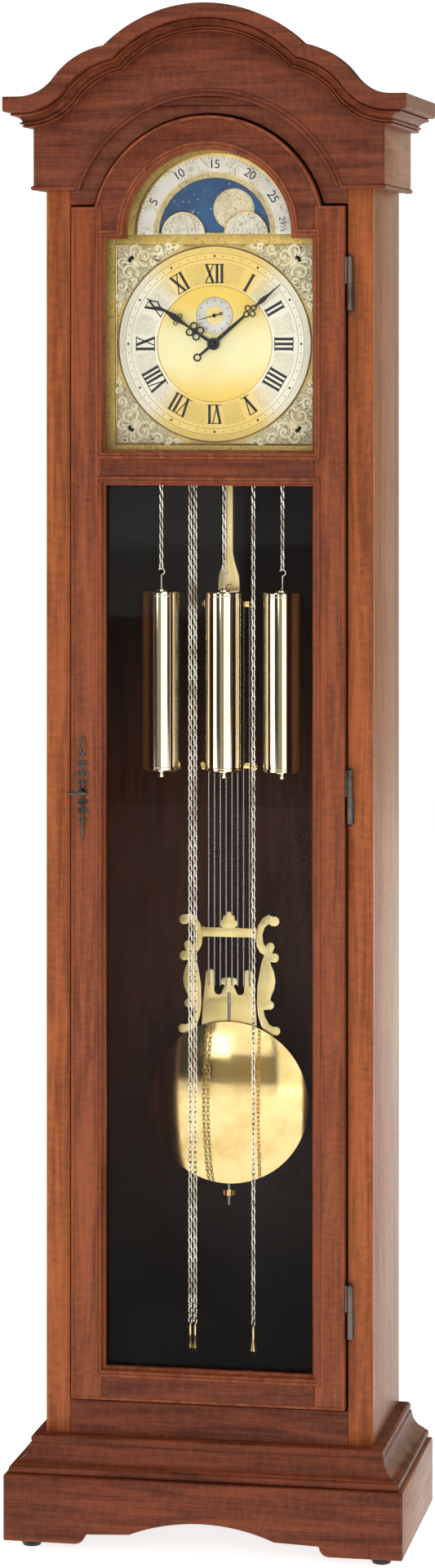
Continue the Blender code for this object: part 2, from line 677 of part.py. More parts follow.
def make_door():
    members = []
    window_top = ARCH_Z - WINDOW_SHOULDER
    inner, rail = SIGHT_HALF + GAP, SIGHT_HALF
    keyhole = arc(LOCK_X, LOCK_Z, KEYHOLE_R, 0, 330, 11)
    for side, name in ((-1, "left"), (1, "right")):
        ends = sorted((side * inner, side * DOOR_HALF))
        loops = [rectangle(*ends, DOOR_BOTTOM, SHOULDER_Z)] + ([keyhole] if side < 0 else [])
        members.append(piece("door_stile_" + name, plate_mesh("stile", loops, DOOR_FRONT, DOOR_BACK), wood))
    rails = (("door_bottom_rail", DOOR_BOTTOM, SIGHT_BOTTOM), ("door_middle_rail", LOWER_SIGHT_TOP,
                                                             UPPER_SIGHT_BOTTOM))
    for name, low, high in rails:
        members.append(piece(name, box_mesh(name, (-rail, DOOR_FRONT, low), (rail, DOOR_BACK, high)), wood))
    start = math.degrees(math.asin((SHOULDER_Z + GAP - ARCH_Z) / DOOR_ARCH_R))
    outer = arc(0, ARCH_Z, DOOR_ARCH_R, 90, start, 14) + [(rail, SHOULDER_Z + GAP), (rail, window_top)]
    head = band(window_head(WINDOW_ARCH_R, window_top, 12), outer)
    members.append(piece("door_top_rail", plate_mesh("head", [head], DOOR_FRONT, DOOR_BACK), wood))
    glass = (GLASS, 0.02, 0.0)
    front = DOOR_BACK + GAP
    lap = SIGHT_HALF + GLASS_LAP
    low_pane = rectangle(-lap, lap, SIGHT_BOTTOM - GLASS_LAP, LOWER_SIGHT_TOP + PANE_TOP_LAP)
    members.append(piece("pendulum_glass", plate_mesh("low_pane", [low_pane], front, front + GLASS_T), glass))
    step_z = ARCH_Z + PANE_STEP
    half = window_head(WINDOW_ARCH_R + GLASS_LAP, step_z, 12)
    half += [(lap, step_z), (lap, UPPER_SIGHT_BOTTOM - GLASS_LAP)]
    pane = plate_mesh("high_pane", [mirrored(half)], front, front + GLASS_T)
    members.append(piece("dial_glass", pane, glass))
    step = 2 * ESCUTCHEON_HALF / (len(ESCUTCHEON_WAIST) - 1)
    low = LOCK_Z + ESCUTCHEON_UP - ESCUTCHEON_HALF
    edge = [(half_w, low + step * at) for at, half_w in enumerate(ESCUTCHEON_WAIST)]
    loop = [(LOCK_X + w, z) for w, z in edge] + [(LOCK_X - w, z) for w, z in reversed(edge)]
    front = DOOR_FRONT - GAP
    plate = plate_mesh("escutcheon", [loop, keyhole], front - ESCUTCHEON_T, front)
    members.append(piece("escutcheon", plate, pewter))
    return members


def make_lock():
    shaft_front = DOOR_FRONT - SHAFT_OUT
    shaft_back = DOOR_BACK + SHAFT_BEYOND
    shaft = rod_mesh("shaft", (LOCK_X, shaft_front - 2 * BOW_LAP, LOCK_Z), (LOCK_X, shaft_back, LOCK_Z),
                     KEY_R)
    key = piece("key", shaft, pewter)
    bow = ring_bow((LOCK_X, shaft_front - BOW_DEEP - BOW_LAP, LOCK_Z))
    fuse(key, bow, rod_mesh("collar", (LOCK_X, shaft_front + COLLAR[0], LOCK_Z),
                            (LOCK_X, shaft_front + COLLAR[1], LOCK_Z), KEY_R + COLLAR_OVER))
    back = shaft_back + GAP
    tongue = rectangle(LOCK_X - TONGUE_HALF, LOCK_X + TONGUE_HALF, LOCK_Z - TONGUE_HEEL, LOCK_Z + TONGUE_LEN)
    cam = piece("lock_tongue", plate_mesh("tongue", [tongue], back, back + TONGUE_T), pewter)
    on_axis("key_axis", (LOCK_X, DOOR_FRONT, LOCK_Z), [key, cam])


def ring_bow(centre):
    """The flat ring bow of the key, lying level, wider than it is deep."""
    turns = [math.radians(30 * step + 12) for step in range(12)]
    outer = [(BOW_WIDE * math.cos(a), BOW_DEEP * math.sin(a)) for a in turns]
    inner = [(0.6 * x, 0.5 * y) for x, y in outer]
    mesh = plate_mesh("bow", [outer, inner], -BOW_T / 2, BOW_T / 2)
    mesh.transform(Matrix.Translation(centre) @ Matrix.Rotation(math.radians(-90), 4, "X"))
    return mesh


def make_hinges():
    door_leaves = []
    names = ("low", "middle", "high")
    pin = Vector((HINGE_X, HINGE_Y, 0))
    for name, height in zip(names, HINGE_UP):
        foot, split, top = height - HINGE_LEN / 2, height, height + HINGE_LEN / 2
        low = Vector((pin.x, pin.y, 0))
        start, end = low + Vector((0, 0, foot)), low + Vector((0, 0, split - GAP / 2))
        knuckle = rod_mesh("knuckle", start, end, HINGE_R)
        case_leaf = piece("hinge_case_" + name, knuckle, pewter)
        fuse(case_leaf,
             box_mesh("leaf_" + name, (pin.x - HINGE_ARM_IN, TRUNK_FRONT - GAP - HINGE_LEAF_T, foot),
                      (pin.x + HINGE_LEAF_OUT, TRUNK_FRONT - GAP, split - GAP / 2)),
             rod_mesh("pin_" + name, low + Vector((0, 0, split - HINGE_PIN_END)),
                      low + Vector((0, 0, top - HINGE_PIN_END)), HINGE_PIN_R))
        upper = rod_mesh("upper", low + Vector((0, 0, split + GAP / 2)), low + Vector((0, 0, top)), HINGE_R)
        door_leaf = piece("hinge_door_" + name, upper, pewter)
        edge = DOOR_HALF + GAP
        fuse(door_leaf,
             box_mesh("arm_" + name, (edge, pin.y - HINGE_ARM[0], split + GAP / 2),
                      (pin.x - HINGE_ARM_IN, pin.y + HINGE_ARM[1], top)),
             box_mesh("wing_" + name, (edge, pin.y - HINGE_ARM[0], split + GAP / 2),
                      (edge + HINGE_WING_T, DOOR_BACK - HINGE_WING_IN, top)))
        cut(door_leaf, rod_mesh("bore_hinge_" + name, low + Vector((0, 0, split - HINGE_LEN / 4)),
                                low + Vector((0, 0, top - HINGE_PIN_END + RUNNING)), HINGE_PIN_R + RUNNING))
        door_leaves.append(door_leaf)
    return door_leaves


# ---- Dial ----
def circle(x, z, radius, steps):
    return arc(x, z, radius, 0, 360 - 360 / steps, steps - 1)


def make_dial():
    half = arc(0, ARCH_Z, DIAL_ARCH_R, 90, 0, 12)
    half += [(DIAL_HALF, ARCH_Z), (DIAL_HALF, DIAL_FOOT)]
    right = arc(0, ARCH_Z, MOON_OPENING_R, 90, 1.5, 10)
    hump_start = math.degrees(math.asin(MOON_SILL / MOON_HUMP_R))
    right += arc(MOON_HUMP_X, ARCH_Z, MOON_HUMP_R, hump_start, 180 - hump_start, 8)
    window = right + [(-x, z) for x, z in reversed(right[1:])]
    holes = [window, circle(0, DIAL_Z, CENTRE_ARBOR_R + RUNNING + PIPE_WALL + DIAL_HOLE_OVER, 12),
             circle(0, DIAL_Z + SECONDS_UP, SECONDS_ARBOR_R + DIAL_HOLE_OVER / 2, 8)]
    dial = plate_mesh("dial", [mirrored(half)] + holes, DIAL_FRONT, DIAL_FRONT + DIAL_T)
    piece("dial_plate", dial, ((0.78, 0.60, 0.26), 0.3, 1.0))
    front = DIAL_FRONT + DIAL_T + GAP
    disc = piece("moon_disc", rod_mesh("moon", (0, front, ARCH_Z), (0, front + MOON_T, ARCH_Z),
                                       MOON_OPENING_R - 2 * GAP, 36), (BLUE, 0.4, 0.0))
    arbor_end = (0, FRONT_PLATE_Y - MOON_ARBOR_CLEAR, ARCH_Z)
    fuse(disc, rod_mesh("moon_arbor", (0, front + MOON_T / 2, ARCH_Z), arbor_end, CENTRE_ARBOR_R, 8))
    on_axis("moon_axis", (0, DIAL_FRONT, ARCH_Z), [disc])
    pipe_bore = CENTRE_ARBOR_R + RUNNING
    pipe = pipe_bore + PIPE_WALL
    hour_front = DIAL_FRONT - HOUR_OUT
    hour = make_hand("hour_hand", HOUR_BODY, HOUR_ANGLE, hour_front, HOUR_BOSS, pipe_bore, 0)
    fuse(hour, plate_mesh("hour_pipe", [circle(0, DIAL_Z, pipe, 12), circle(0, DIAL_Z, pipe_bore, 12)],
                          hour_front + HAND_T / 2, FRONT_PLATE_Y - PIPE_CLEAR))
    minute_front = DIAL_FRONT - MINUTE_OUT
    minute = make_hand("minute_hand", MINUTE_BODY, MINUTE_ANGLE, minute_front, MINUTE_BOSS, 0, MINUTE_TAIL)
    fuse(minute, rod_mesh("centre_arbor", (0, minute_front - 3 * HAND_T, DIAL_Z),
                          (0, FRONT_PLATE_Y - GAP, DIAL_Z), CENTRE_ARBOR_R))
    seconds_front = DIAL_FRONT - SECONDS_OUT
    seconds_z = DIAL_Z + SECONDS_UP
    seconds = make_hand("seconds_hand", SECONDS_BODY, SECONDS_ANGLE, seconds_front, SECONDS_BOSS, 0,
                        SECONDS_TAIL, seconds_z)
    fuse(seconds, rod_mesh("seconds_arbor", (0, seconds_front - HAND_T, seconds_z),
                           (0, FRONT_PLATE_Y - GAP, seconds_z), SECONDS_ARBOR_R, 8))
    on_axis("hour_axis", (0, DIAL_FRONT, DIAL_Z), [hour])
    on_axis("minute_axis", (0, DIAL_FRONT, DIAL_Z), [minute])
    on_axis("seconds_axis", (0, DIAL_FRONT, seconds_z), [seconds])


def make_hand(name, body, angle, front, boss, bore, tail, centre_z=DIAL_Z):
    """A flat hand: body is (half width, distance) outwards, angle is clockwise from twelve."""
    boss_gap = math.degrees(math.asin(body[0][0] / max(boss, body[0][0] * 1.01)))
    outline = arc(0, 0, boss, 90 - boss_gap, -90 + boss_gap, 6)
    if tail:
        outline += [(body[0][0] * 0.6, tail), (-body[0][0] * 0.6, tail)]
    outline += arc(0, 0, boss, 270 - boss_gap, 90 + boss_gap, 6)
    outline += [(-half, far) for half, far in body] + [(half, far) for half, far in reversed(body)]
    turn = math.radians(angle)

    def placed(x, z):
        return (x * math.cos(turn) + z * math.sin(turn), centre_z - x * math.sin(turn) + z * math.cos(turn))

    loops = [[placed(x, z) for x, z in outline]]
    if bore:
        loops.append([placed(x, z) for x, z in circle(0, 0, bore, 12)])
    return piece(name, plate_mesh(name, loops, front, front + HAND_T), (BLACK, 0.35, 0.6))


# ---- Movement ----
def make_movement():
    low, high = PLATE_FOOT, PLATE_TOP
    front_loops = [rectangle(-PLATE_HALF, PLATE_HALF, low, high)]
    back_loops = [rectangle(-PLATE_HALF, PLATE_HALF, low, high), circle(0, PIVOT_Z, PIVOT_BORE, 10)]
    frame = piece("movement_frame", plate_mesh("front_plate", front_loops, FRONT_PLATE_Y,
                                               FRONT_PLATE_Y + PLATE_T), brass)
    back = plate_mesh("back_plate", back_loops, BACK_PLATE_Y, BACK_PLATE_Y + PLATE_T)
    into = PLATE_T / 2
    fuse(frame, *[rod_mesh(f"pillar_{side}_{level}", (side * PILLAR_X, FRONT_PLATE_Y + into, z),
                           (side * PILLAR_X, BACK_PLATE_Y + into, z), PILLAR_R, 8)
                  for side in (-1, 1) for level, z in enumerate((low + PILLAR_END, high - PILLAR_END))])
    fuse(frame, back,
         box_mesh("suspension_post", (-POST_HALF, BACK_PLATE_Y + into, PIVOT_Z + POST_UP[0]),
                  (POST_HALF, PENDULUM_Y + POST_BEYOND, PIVOT_Z + POST_UP[1])))
    inside = (FRONT_PLATE_Y + PLATE_T + GAP, BACK_PLATE_Y - GAP)
    drum = CHAIN_WHEEL_R - CHAIN_R - GAP
    for name, x in WHEEL_X.items():
        groove = CHAIN_R + GAP
        back, edge = CHAIN_Y + GEAR_BACK, GEAR_R - FLANGE_T
        low, high = CHAIN_Y - groove, CHAIN_Y + groove
        profile = [(0, inside[1]), (WHEEL_ARBOR_R, inside[1]), (WHEEL_ARBOR_R, back), (GEAR_R, back),
                   (GEAR_R, high), (drum, high), (drum, low), (edge, low), (edge, low - FLANGE_T),
                   (WHEEL_ARBOR_R, low - FLANGE_T), (WHEEL_ARBOR_R, inside[0]), (0, inside[0])]
        wheel = piece("great_wheel_" + name, bpy.data.meshes.new("great_wheel_" + name), brass)
        turned(wheel, profile, (x, 0, WHEEL_Z), axis="Y", steps=20)
    arbor_back = BACK_PLATE_Y + PLATE_T + ARBOR_OUT
    outline = [(x, PIVOT_Z + z) for x, z in ANCHOR_HALF]
    anchor_plate = plate_mesh("anchor", [mirrored(outline)], ANCHOR_Y, ANCHOR_Y + ANCHOR_T)
    anchor = piece("anchor", anchor_plate, brass)
    crutch_y = arbor_back - CRUTCH_IN
    crutch_foot = PIVOT_Z - CRUTCH_LEN
    pin_half, pin_high = CRUTCH_PIN
    fuse(anchor,
         rod_mesh("anchor_arbor", (0, inside[0], PIVOT_Z), (0, arbor_back, PIVOT_Z), ANCHOR_ARBOR_R, 8),
         box_mesh("crutch", (-CRUTCH_HALF, crutch_y, crutch_foot),
                  (CRUTCH_HALF, crutch_y + CRUTCH_HALF, PIVOT_Z)),
         box_mesh("crutch_pin", (-pin_half, crutch_y + CRUTCH_HALF / 4, crutch_foot),
                  (pin_half, PENDULUM_Y - 2 * GAP - LEADER_THIN, crutch_foot + pin_high)))
    on_axis("pendulum_pivot", (0, PENDULUM_Y, PIVOT_Z), [anchor])


# ---- Weights and chains ----
def make_drive():
    foot, top = WEIGHT_FOOT, WEIGHT_TOP
    hook = top + HOOK_LEN
    for name, wheel_x in WHEEL_X.items():
        side = WEIGHT_SIDE[name]
        heavy_x, free_x = wheel_x + side * CHAIN_WHEEL_R, wheel_x - side * CHAIN_WHEEL_R
        profile = [(0, hook), (HOOK_R, hook), (HOOK_R, top + CAP_T + CAP_NECK), (CAP_R, top + CAP_T),
                   (CAP_R, top), (WEIGHT_R - SHELL_EDGE, top), (WEIGHT_R, top - SHELL_EDGE),
                   (WEIGHT_R, foot + SHELL_EDGE), (WEIGHT_R - SHELL_EDGE, foot)]
        profile += [(radius, foot - drop) for radius, drop in FOOT_NUT]
        weight = piece("weight_" + name, bpy.data.meshes.new("weight_" + name), brass)
        turned(weight, profile, (heavy_x, CHAIN_Y, 0))
        sweep = arc(wheel_x, WHEEL_Z, CHAIN_WHEEL_R, 90 - 90 * side, 90 + 90 * side, 10)
        route = [(heavy_x, CHAIN_Y, hook + GAP)]
        route += [(x, CHAIN_Y, z) for x, z in sweep]
        route += [(free_x, CHAIN_Y, FREE_END_Z + GAP)]
        chain = tube_mesh("chain_" + name, route, CHAIN_R)
        piece("chain_" + name, chain, brass)
        drop = [(0, FREE_END_Z)] + [(radius, FREE_END_Z - down) for radius, down in FREE_END]
        drop += [(0, FREE_END_Z - FREE_END_LEN)]
        end = piece("chain_end_" + name, bpy.data.meshes.new("chain_end_" + name), brass)
        turned(end, drop, (free_x, CHAIN_Y, 0), steps=10)


# ---- Pendulum ----
def lyre_outline():
    """The flat brass lyre under the rods, as one outline, drawn for its right half."""
    foot, top = BOB_Z + BOB_R - LYRE_LAP, GRID_FOOT + LYRE_UP
    return mirrored([
        (0, top + 0.010), (0.008, top + 0.006), (0.010, top - 0.004), (0.024, top - 0.006),
        (0.030, top + 0.003), (0.038, top + 0.012), (0.048, top + 0.008), (0.053, top - 0.004),
        (0.047, top - 0.016), (0.044, top - 0.030), (0.050, top - 0.044), (0.056, top - 0.058),
        (0.050, top - 0.072), (0.046, top - 0.090), (0.055, top - 0.104), (0.058, top - 0.116),
        (0.052, foot + 0.008), (0.040, foot), (0, foot)])


def make_pendulum():
    y = PENDULUM_Y
    top = PIVOT_Z + LEADER_OVER
    leader = box_mesh("leader", (-LEADER_HALF, y - LEADER_THIN, LEADER_FOOT + LEADER_LAP),
                      (LEADER_HALF, y + LEADER_THIN, top))
    rod = piece("pendulum_rod", leader, brass)
    span = ROD_PITCH * (ROD_COUNT - 1) / 2
    flare = [(LEADER_HALF, LEADER_FOOT + FLARE_UP), (FLARE_HALF, LEADER_FOOT + LEADER_LAP),
             (FLARE_HALF, GRID_TOP)]
    thin = LEADER_THIN - GAP
    fuse(rod, plate_mesh("flare", [mirrored(flare)], y - thin, y + thin))
    deep, tall = GRID_BAR
    for number, (height, over) in enumerate(zip((GRID_TOP, GRID_MIDDLE, GRID_FOOT), GRID_OVER)):
        fuse(rod, box_mesh(f"bar_{number}", (-span - over, y - deep, height - tall),
                           (span + over, y + deep + GAP / 3, height + tall)))
    for number in range(ROD_COUNT):
        x = -span + ROD_PITCH * number
        fuse(rod, rod_mesh(f"grid_rod_{number}", (x, y, ROD_FOOT), (x, y, GRID_TOP + ROD_R), ROD_R, 6))
    inner = [(0.026, GRID_FOOT - 0.006), (0.036, GRID_FOOT - 0.012), (0.033, GRID_FOOT - 0.060),
             (0.036, ROD_FOOT + 0.004), (0.028, BOB_Z + BOB_R + 0.062), (0.015, BOB_Z + BOB_R + 0.040),
             (0.006, BOB_Z + BOB_R + 0.052), (0, BOB_Z + BOB_R + 0.058)]
    lyre = plate_mesh("lyre", [lyre_outline(), mirrored(list(reversed(inner)))], y + LYRE_DEEP[0],
                      y + LYRE_DEEP[1])
    fuse(rod, lyre)
    hanger_y = y + ROD_Y_OFF
    fuse(rod, rod_mesh("hanger", (0, hanger_y, HANGER_FOOT), (0, hanger_y, BOB_Z + BOB_R + HANGER_UP),
                       HANGER_R, 10))
    lens = [(0, -BOB_RISE - BOB_RIM)]
    for step in range(1, 7):
        share = step / 6
        lens.append((BOB_R * share, -BOB_RIM - BOB_RISE * (1 - share ** 2)))
    profile = [(0, 0), (BOB_R, 0)] + list(reversed(lens))
    bob = piece("pendulum_bob", bpy.data.meshes.new("pendulum_bob"), brass)
    turned(bob, profile, (0, BOB_BACK, BOB_Z), axis="Y", steps=48)
    nut_top, nut_foot = [BOB_Z - BOB_R - drop for drop in NUT_DROP]
    blank = rod_mesh("nut", (0, hanger_y, nut_foot), (0, hanger_y, nut_top), NUT_R, 16)
    nut = piece("rating_nut", blank, brass)
    cut(nut, rod_mesh("nut_bore", (0, hanger_y, nut_foot - NUT_R), (0, hanger_y, nut_top + NUT_R),
                      HANGER_R + RUNNING, 12))
    on_axis("pendulum_axis", (0, PENDULUM_Y, PIVOT_Z), [rod, bob])
    on_axis("nut_axis", (0, hanger_y, nut_foot), [nut])


make_plinth()
make_glides()
make_base_moulding()
make_carcass()
make_seat_board()
make_hood()
door_members = make_door()
door_members += make_hinges()
make_lock()
on_axis("door_axis", (HINGE_X, HINGE_Y, 0), door_members)
make_dial()
make_movement()
make_drive()
make_pendulum()
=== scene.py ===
"""Longcase clock: finished surfaces, mouldings, dial work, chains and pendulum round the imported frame."""
import json
import math
import random

import bmesh
import bpy
from mathutils import Matrix, Vector

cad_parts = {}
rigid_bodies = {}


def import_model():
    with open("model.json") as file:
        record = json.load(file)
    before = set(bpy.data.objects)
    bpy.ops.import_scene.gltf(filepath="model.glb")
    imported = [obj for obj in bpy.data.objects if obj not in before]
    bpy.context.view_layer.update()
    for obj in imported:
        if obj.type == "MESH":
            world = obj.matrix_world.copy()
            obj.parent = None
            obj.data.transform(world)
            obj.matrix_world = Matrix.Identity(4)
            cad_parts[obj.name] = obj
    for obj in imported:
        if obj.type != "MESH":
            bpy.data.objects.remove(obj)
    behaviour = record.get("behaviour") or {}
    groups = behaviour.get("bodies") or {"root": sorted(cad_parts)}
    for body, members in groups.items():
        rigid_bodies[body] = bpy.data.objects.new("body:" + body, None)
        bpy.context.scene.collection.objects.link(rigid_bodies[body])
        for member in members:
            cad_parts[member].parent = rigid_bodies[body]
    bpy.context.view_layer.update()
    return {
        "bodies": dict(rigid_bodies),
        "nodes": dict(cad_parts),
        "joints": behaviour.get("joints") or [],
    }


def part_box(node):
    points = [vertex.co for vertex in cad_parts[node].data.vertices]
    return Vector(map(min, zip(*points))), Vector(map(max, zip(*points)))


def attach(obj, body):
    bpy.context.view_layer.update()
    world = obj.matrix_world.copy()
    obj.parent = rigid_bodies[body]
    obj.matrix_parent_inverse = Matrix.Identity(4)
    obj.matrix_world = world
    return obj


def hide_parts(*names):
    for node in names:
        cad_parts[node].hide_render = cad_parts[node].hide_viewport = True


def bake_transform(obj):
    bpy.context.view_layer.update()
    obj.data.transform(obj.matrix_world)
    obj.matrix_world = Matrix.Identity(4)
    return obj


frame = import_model()

# ---- Places read from the frame ----
joints = {joint["name"]: joint for joint in frame["joints"]}
CENTRE = Vector(joints["minute_turn"]["pos_m"])
SECONDS = Vector(joints["seconds_turn"]["pos_m"])
ARCH_Z = joints["moon_turn"]["pos_m"][2]
PIVOT = Vector(joints["pendulum_swing"]["pos_m"])

hood_low, hood_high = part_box("hood_front")
HOOD_HALF, HOOD_FRONT, HOOD_BOTTOM = hood_high.x, hood_low.y, hood_low.z
BACK_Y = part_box("back_panel")[1].y
stile_low, stile_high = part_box("frame_stile_right")
TRUNK_HALF, TRUNK_FRONT = stile_high.x, stile_low.y
door_low, door_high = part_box("door_stile_right")
DOOR_HALF, SIGHT_HALF = door_high.x, door_low.x
DOOR_FRONT = door_low.y
DOOR_BOTTOM, SHOULDER_Z = door_low.z, door_high.z
DOOR_ARCH_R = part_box("door_top_rail")[1].z - ARCH_Z
WINDOW_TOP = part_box("door_top_rail")[0].z
SIGHT_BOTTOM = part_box("door_bottom_rail")[1].z
RAIL_LOW, RAIL_HIGH = [corner.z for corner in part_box("door_middle_rail")]
DIAL_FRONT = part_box("dial_plate")[0].y
HOOD_ARCH_R = DOOR_ARCH_R + 0.0264
WINDOW_ARCH_R = 0.118
GAP = 0.0003          # clear space between neighbouring boards
UPRIGHT = Matrix.Rotation(math.pi / 2, 4, "X")   # stands a flat outline up to face the front


# ---- Camera, light and floor ----
CAMERA_PLACE, CAMERA_TURN = (1.0897, -5.8814, 1.6712), 10.55
CAMERA_LENS, CAMERA_SHIFT, SENSOR = 98.96, -0.293, 36
SOFTBOXES = (  # name, azimuth from straight ahead, distance, height, size, radiance, colour
    ("left_softbox", -65, 4.6, 1.5, (5.0, 3.4), 1.65, (1, 1, 1)),
    ("right_softbox", 26, 4.6, 1.5, (3.2, 3.4), 1.65, (1.0, 0.98, 0.95)),
    ("upper_softbox", -5, 4.6, 2.15, (1.7, 2.1), 1.65, (1, 1, 1)),
    ("lower_softbox", -5, 4.6, 0.45, (1.7, 1.2), 0.30, (1.0, 0.86, 0.55)),
    ("window_softbox", -13.6, 4.4, 1.29, (0.64, 0.62), 2.2, (1, 1, 1)),
    ("side_softbox", 98, 2.6, 1.3, (4.0, 3.0), 0.62, (1.0, 0.85, 0.58)),
    ("rim_softbox", 163, 3.4, 1.2, (1.3, 3.2), 1.0, (1.0, 0.87, 0.66)))
AIM_HEIGHT = 1.1


def set_stage():
    camera_data = bpy.data.cameras.new("camera")
    camera = bpy.data.objects.new("camera", camera_data)
    bpy.context.scene.collection.objects.link(camera)
    camera.location = CAMERA_PLACE
    camera.rotation_euler = (math.radians(90), 0, math.radians(CAMERA_TURN))
    camera_data.sensor_width = SENSOR
    camera_data.lens = CAMERA_LENS
    camera_data.shift_y = CAMERA_SHIFT
    bpy.context.scene.camera = camera
    bpy.context.scene.view_settings.view_transform = "Standard"

    world = bpy.data.worlds.new("studio")
    bpy.context.scene.world = world
    world.use_nodes = True
    nodes, links = world.node_tree.nodes, world.node_tree.links
    nodes.clear()

    def background(colour, strength):
        node = nodes.new("ShaderNodeBackground")
        node.inputs["Color"].default_value = (*colour, 1)
        node.inputs["Strength"].default_value = strength
        return node.outputs[0]

    def choose(ray, other, chosen):
        mix = nodes.new("ShaderNodeMixShader")
        for source, socket in zip((rays.outputs[ray], other, chosen), mix.inputs):
            links.new(source, socket)
        return mix.outputs[0]

    rays = nodes.new("ShaderNodeLightPath")
    lit = choose("Is Glossy Ray", background((1.0, 0.98, 0.95), 0.22), background((1.0, 0.96, 0.90), 0.05))
    seen = choose("Is Camera Ray", lit, background((1.0, 1.0, 1.0), 1.2))
    links.new(seen, nodes.new("ShaderNodeOutputWorld").inputs[0])

    def lamp(name, place, aim, size, power, colour=(1, 1, 1)):
        data = bpy.data.lights.new(name, "AREA")
        data.shape = "RECTANGLE"
        data.size, data.size_y = size
        data.energy = power
        data.color = colour
        light = bpy.data.objects.new(name, data)
        light.location = place
        light.rotation_euler = (Vector(aim) - Vector(place)).to_track_quat("-Z", "Y").to_euler()
        bpy.context.scene.collection.objects.link(light)

    for name, azimuth, distance, height, size, radiance, colour in SOFTBOXES:
        way = math.radians(azimuth)
        place = (distance * math.sin(way), -distance * math.cos(way), height)
        lamp(name, place, (0, 0, AIM_HEIGHT), size, radiance * math.pi * size[0] * size[1], colour)
    lamp("top_softbox", (0, -1.4, 4.4), (0, 0, 1.6), (3.6, 2.6), 60)

    form = bmesh.new()
    bmesh.ops.create_grid(form, x_segments=1, y_segments=1, size=9.0)
    mesh = bpy.data.meshes.new("floor")
    form.to_mesh(mesh)
    form.free()
    floor = bpy.data.objects.new("floor", mesh)
    bpy.context.scene.collection.objects.link(floor)
    pale = bpy.data.materials.new("pale_floor")
    pale.use_nodes = True
    shader = pale.node_tree.nodes["Principled BSDF"]
    shader.inputs["Base Color"].default_value = (0.95, 0.95, 0.95, 1)
    shader.inputs["Roughness"].default_value = 0.7
    shader.inputs["Emission Color"].default_value = (1, 1, 1, 1)
    shader.inputs["Emission Strength"].default_value = 0.80
    mesh.materials.append(pale)


# ---- Shader groups ----
def new_group(name, inputs, outputs):
    """A node group with named sockets; inputs are (name, kind, default)."""
    group = bpy.data.node_groups.new(name, "ShaderNodeTree")
    for title, kind, default in inputs:
        socket = group.interface.new_socket(title, in_out="INPUT", socket_type=kind)
        if default is not None:
            socket.default_value = default
    for title, kind in outputs:
        group.interface.new_socket(title, in_out="OUTPUT", socket_type=kind)
    return group, group.nodes.new("NodeGroupInput"), group.nodes.new("NodeGroupOutput")


class Sheet:
    """Small helper that adds linked nodes to one node tree."""

    def __init__(self, tree):
        self.tree = tree

    def put(self, value, socket):
        if isinstance(value, bpy.types.NodeSocket):
            self.tree.links.new(value, socket)
        elif value is not None:
            socket.default_value = value

    def fill(self, node, **values):
        for title, value in values.items():
            self.put(value, node.inputs[title.replace("_", " ")])

    def noise(self, vector, scale, detail=4.0, rough=0.55, distortion=0.0):
        node = self.tree.nodes.new("ShaderNodeTexNoise")
        self.put(vector, node.inputs["Vector"])
        self.fill(node, Scale=scale, Detail=detail, Roughness=rough, Distortion=distortion)
        return node.outputs["Fac"]

    def stretch(self, vector, scale, turn=(0, 0, 0), move=(0, 0, 0)):
        node = self.tree.nodes.new("ShaderNodeMapping")
        self.put(vector, node.inputs["Vector"])
        node.inputs["Scale"].default_value = scale
        node.inputs["Rotation"].default_value = turn
        node.inputs["Location"].default_value = move
        return node.outputs["Vector"]

    def ramp(self, value, low, high, start=0.0, end=1.0, smooth=True):
        node = self.tree.nodes.new("ShaderNodeMapRange")
        node.interpolation_type = "SMOOTHSTEP" if smooth else "LINEAR"
        self.fill(node, Value=value, From_Min=low, From_Max=high, To_Min=start, To_Max=end)
        return node.outputs["Result"]

    def math(self, kind, first, second=0.0):
        node = self.tree.nodes.new("ShaderNodeMath")
        node.operation = kind
        self.put(first, node.inputs[0])
        self.put(second, node.inputs[1])
        return node.outputs[0]

    def times(self, first, second):
        return self.math("MULTIPLY", first, second)

    def plus(self, first, second):
        return self.math("ADD", first, second)

    def minus(self, first, second):
        return self.math("SUBTRACT", first, second)

    def band(self, value, rise_from, rise_to, fall_from, fall_to):
        """One between the rise and the fall, and nothing outside them."""
        rise = self.ramp(value, rise_from, rise_to)
        return self.times(rise, self.ramp(value, fall_from, fall_to, 1.0, 0.0))

    def blend(self, share, first, second):
        node = self.tree.nodes.new("ShaderNodeMix")
        node.data_type = "RGBA"
        self.put(share, node.inputs["Factor"])
        self.put(first, node.inputs[6])
        self.put(second, node.inputs[7])
        return node.outputs[2]

    def group(self, group, **values):
        node = self.tree.nodes.new("ShaderNodeGroup")
        node.node_tree = group
        self.fill(node, **values)
        return node.outputs

    def split(self, vector):
        node = self.tree.nodes.new("ShaderNodeSeparateXYZ")
        self.put(vector, node.inputs[0])
        return node.outputs

    def join(self, x, y, z):
        node = self.tree.nodes.new("ShaderNodeCombineXYZ")
        for value, socket in zip((x, y, z), node.inputs):
            self.put(value, socket)
        return node.outputs[0]


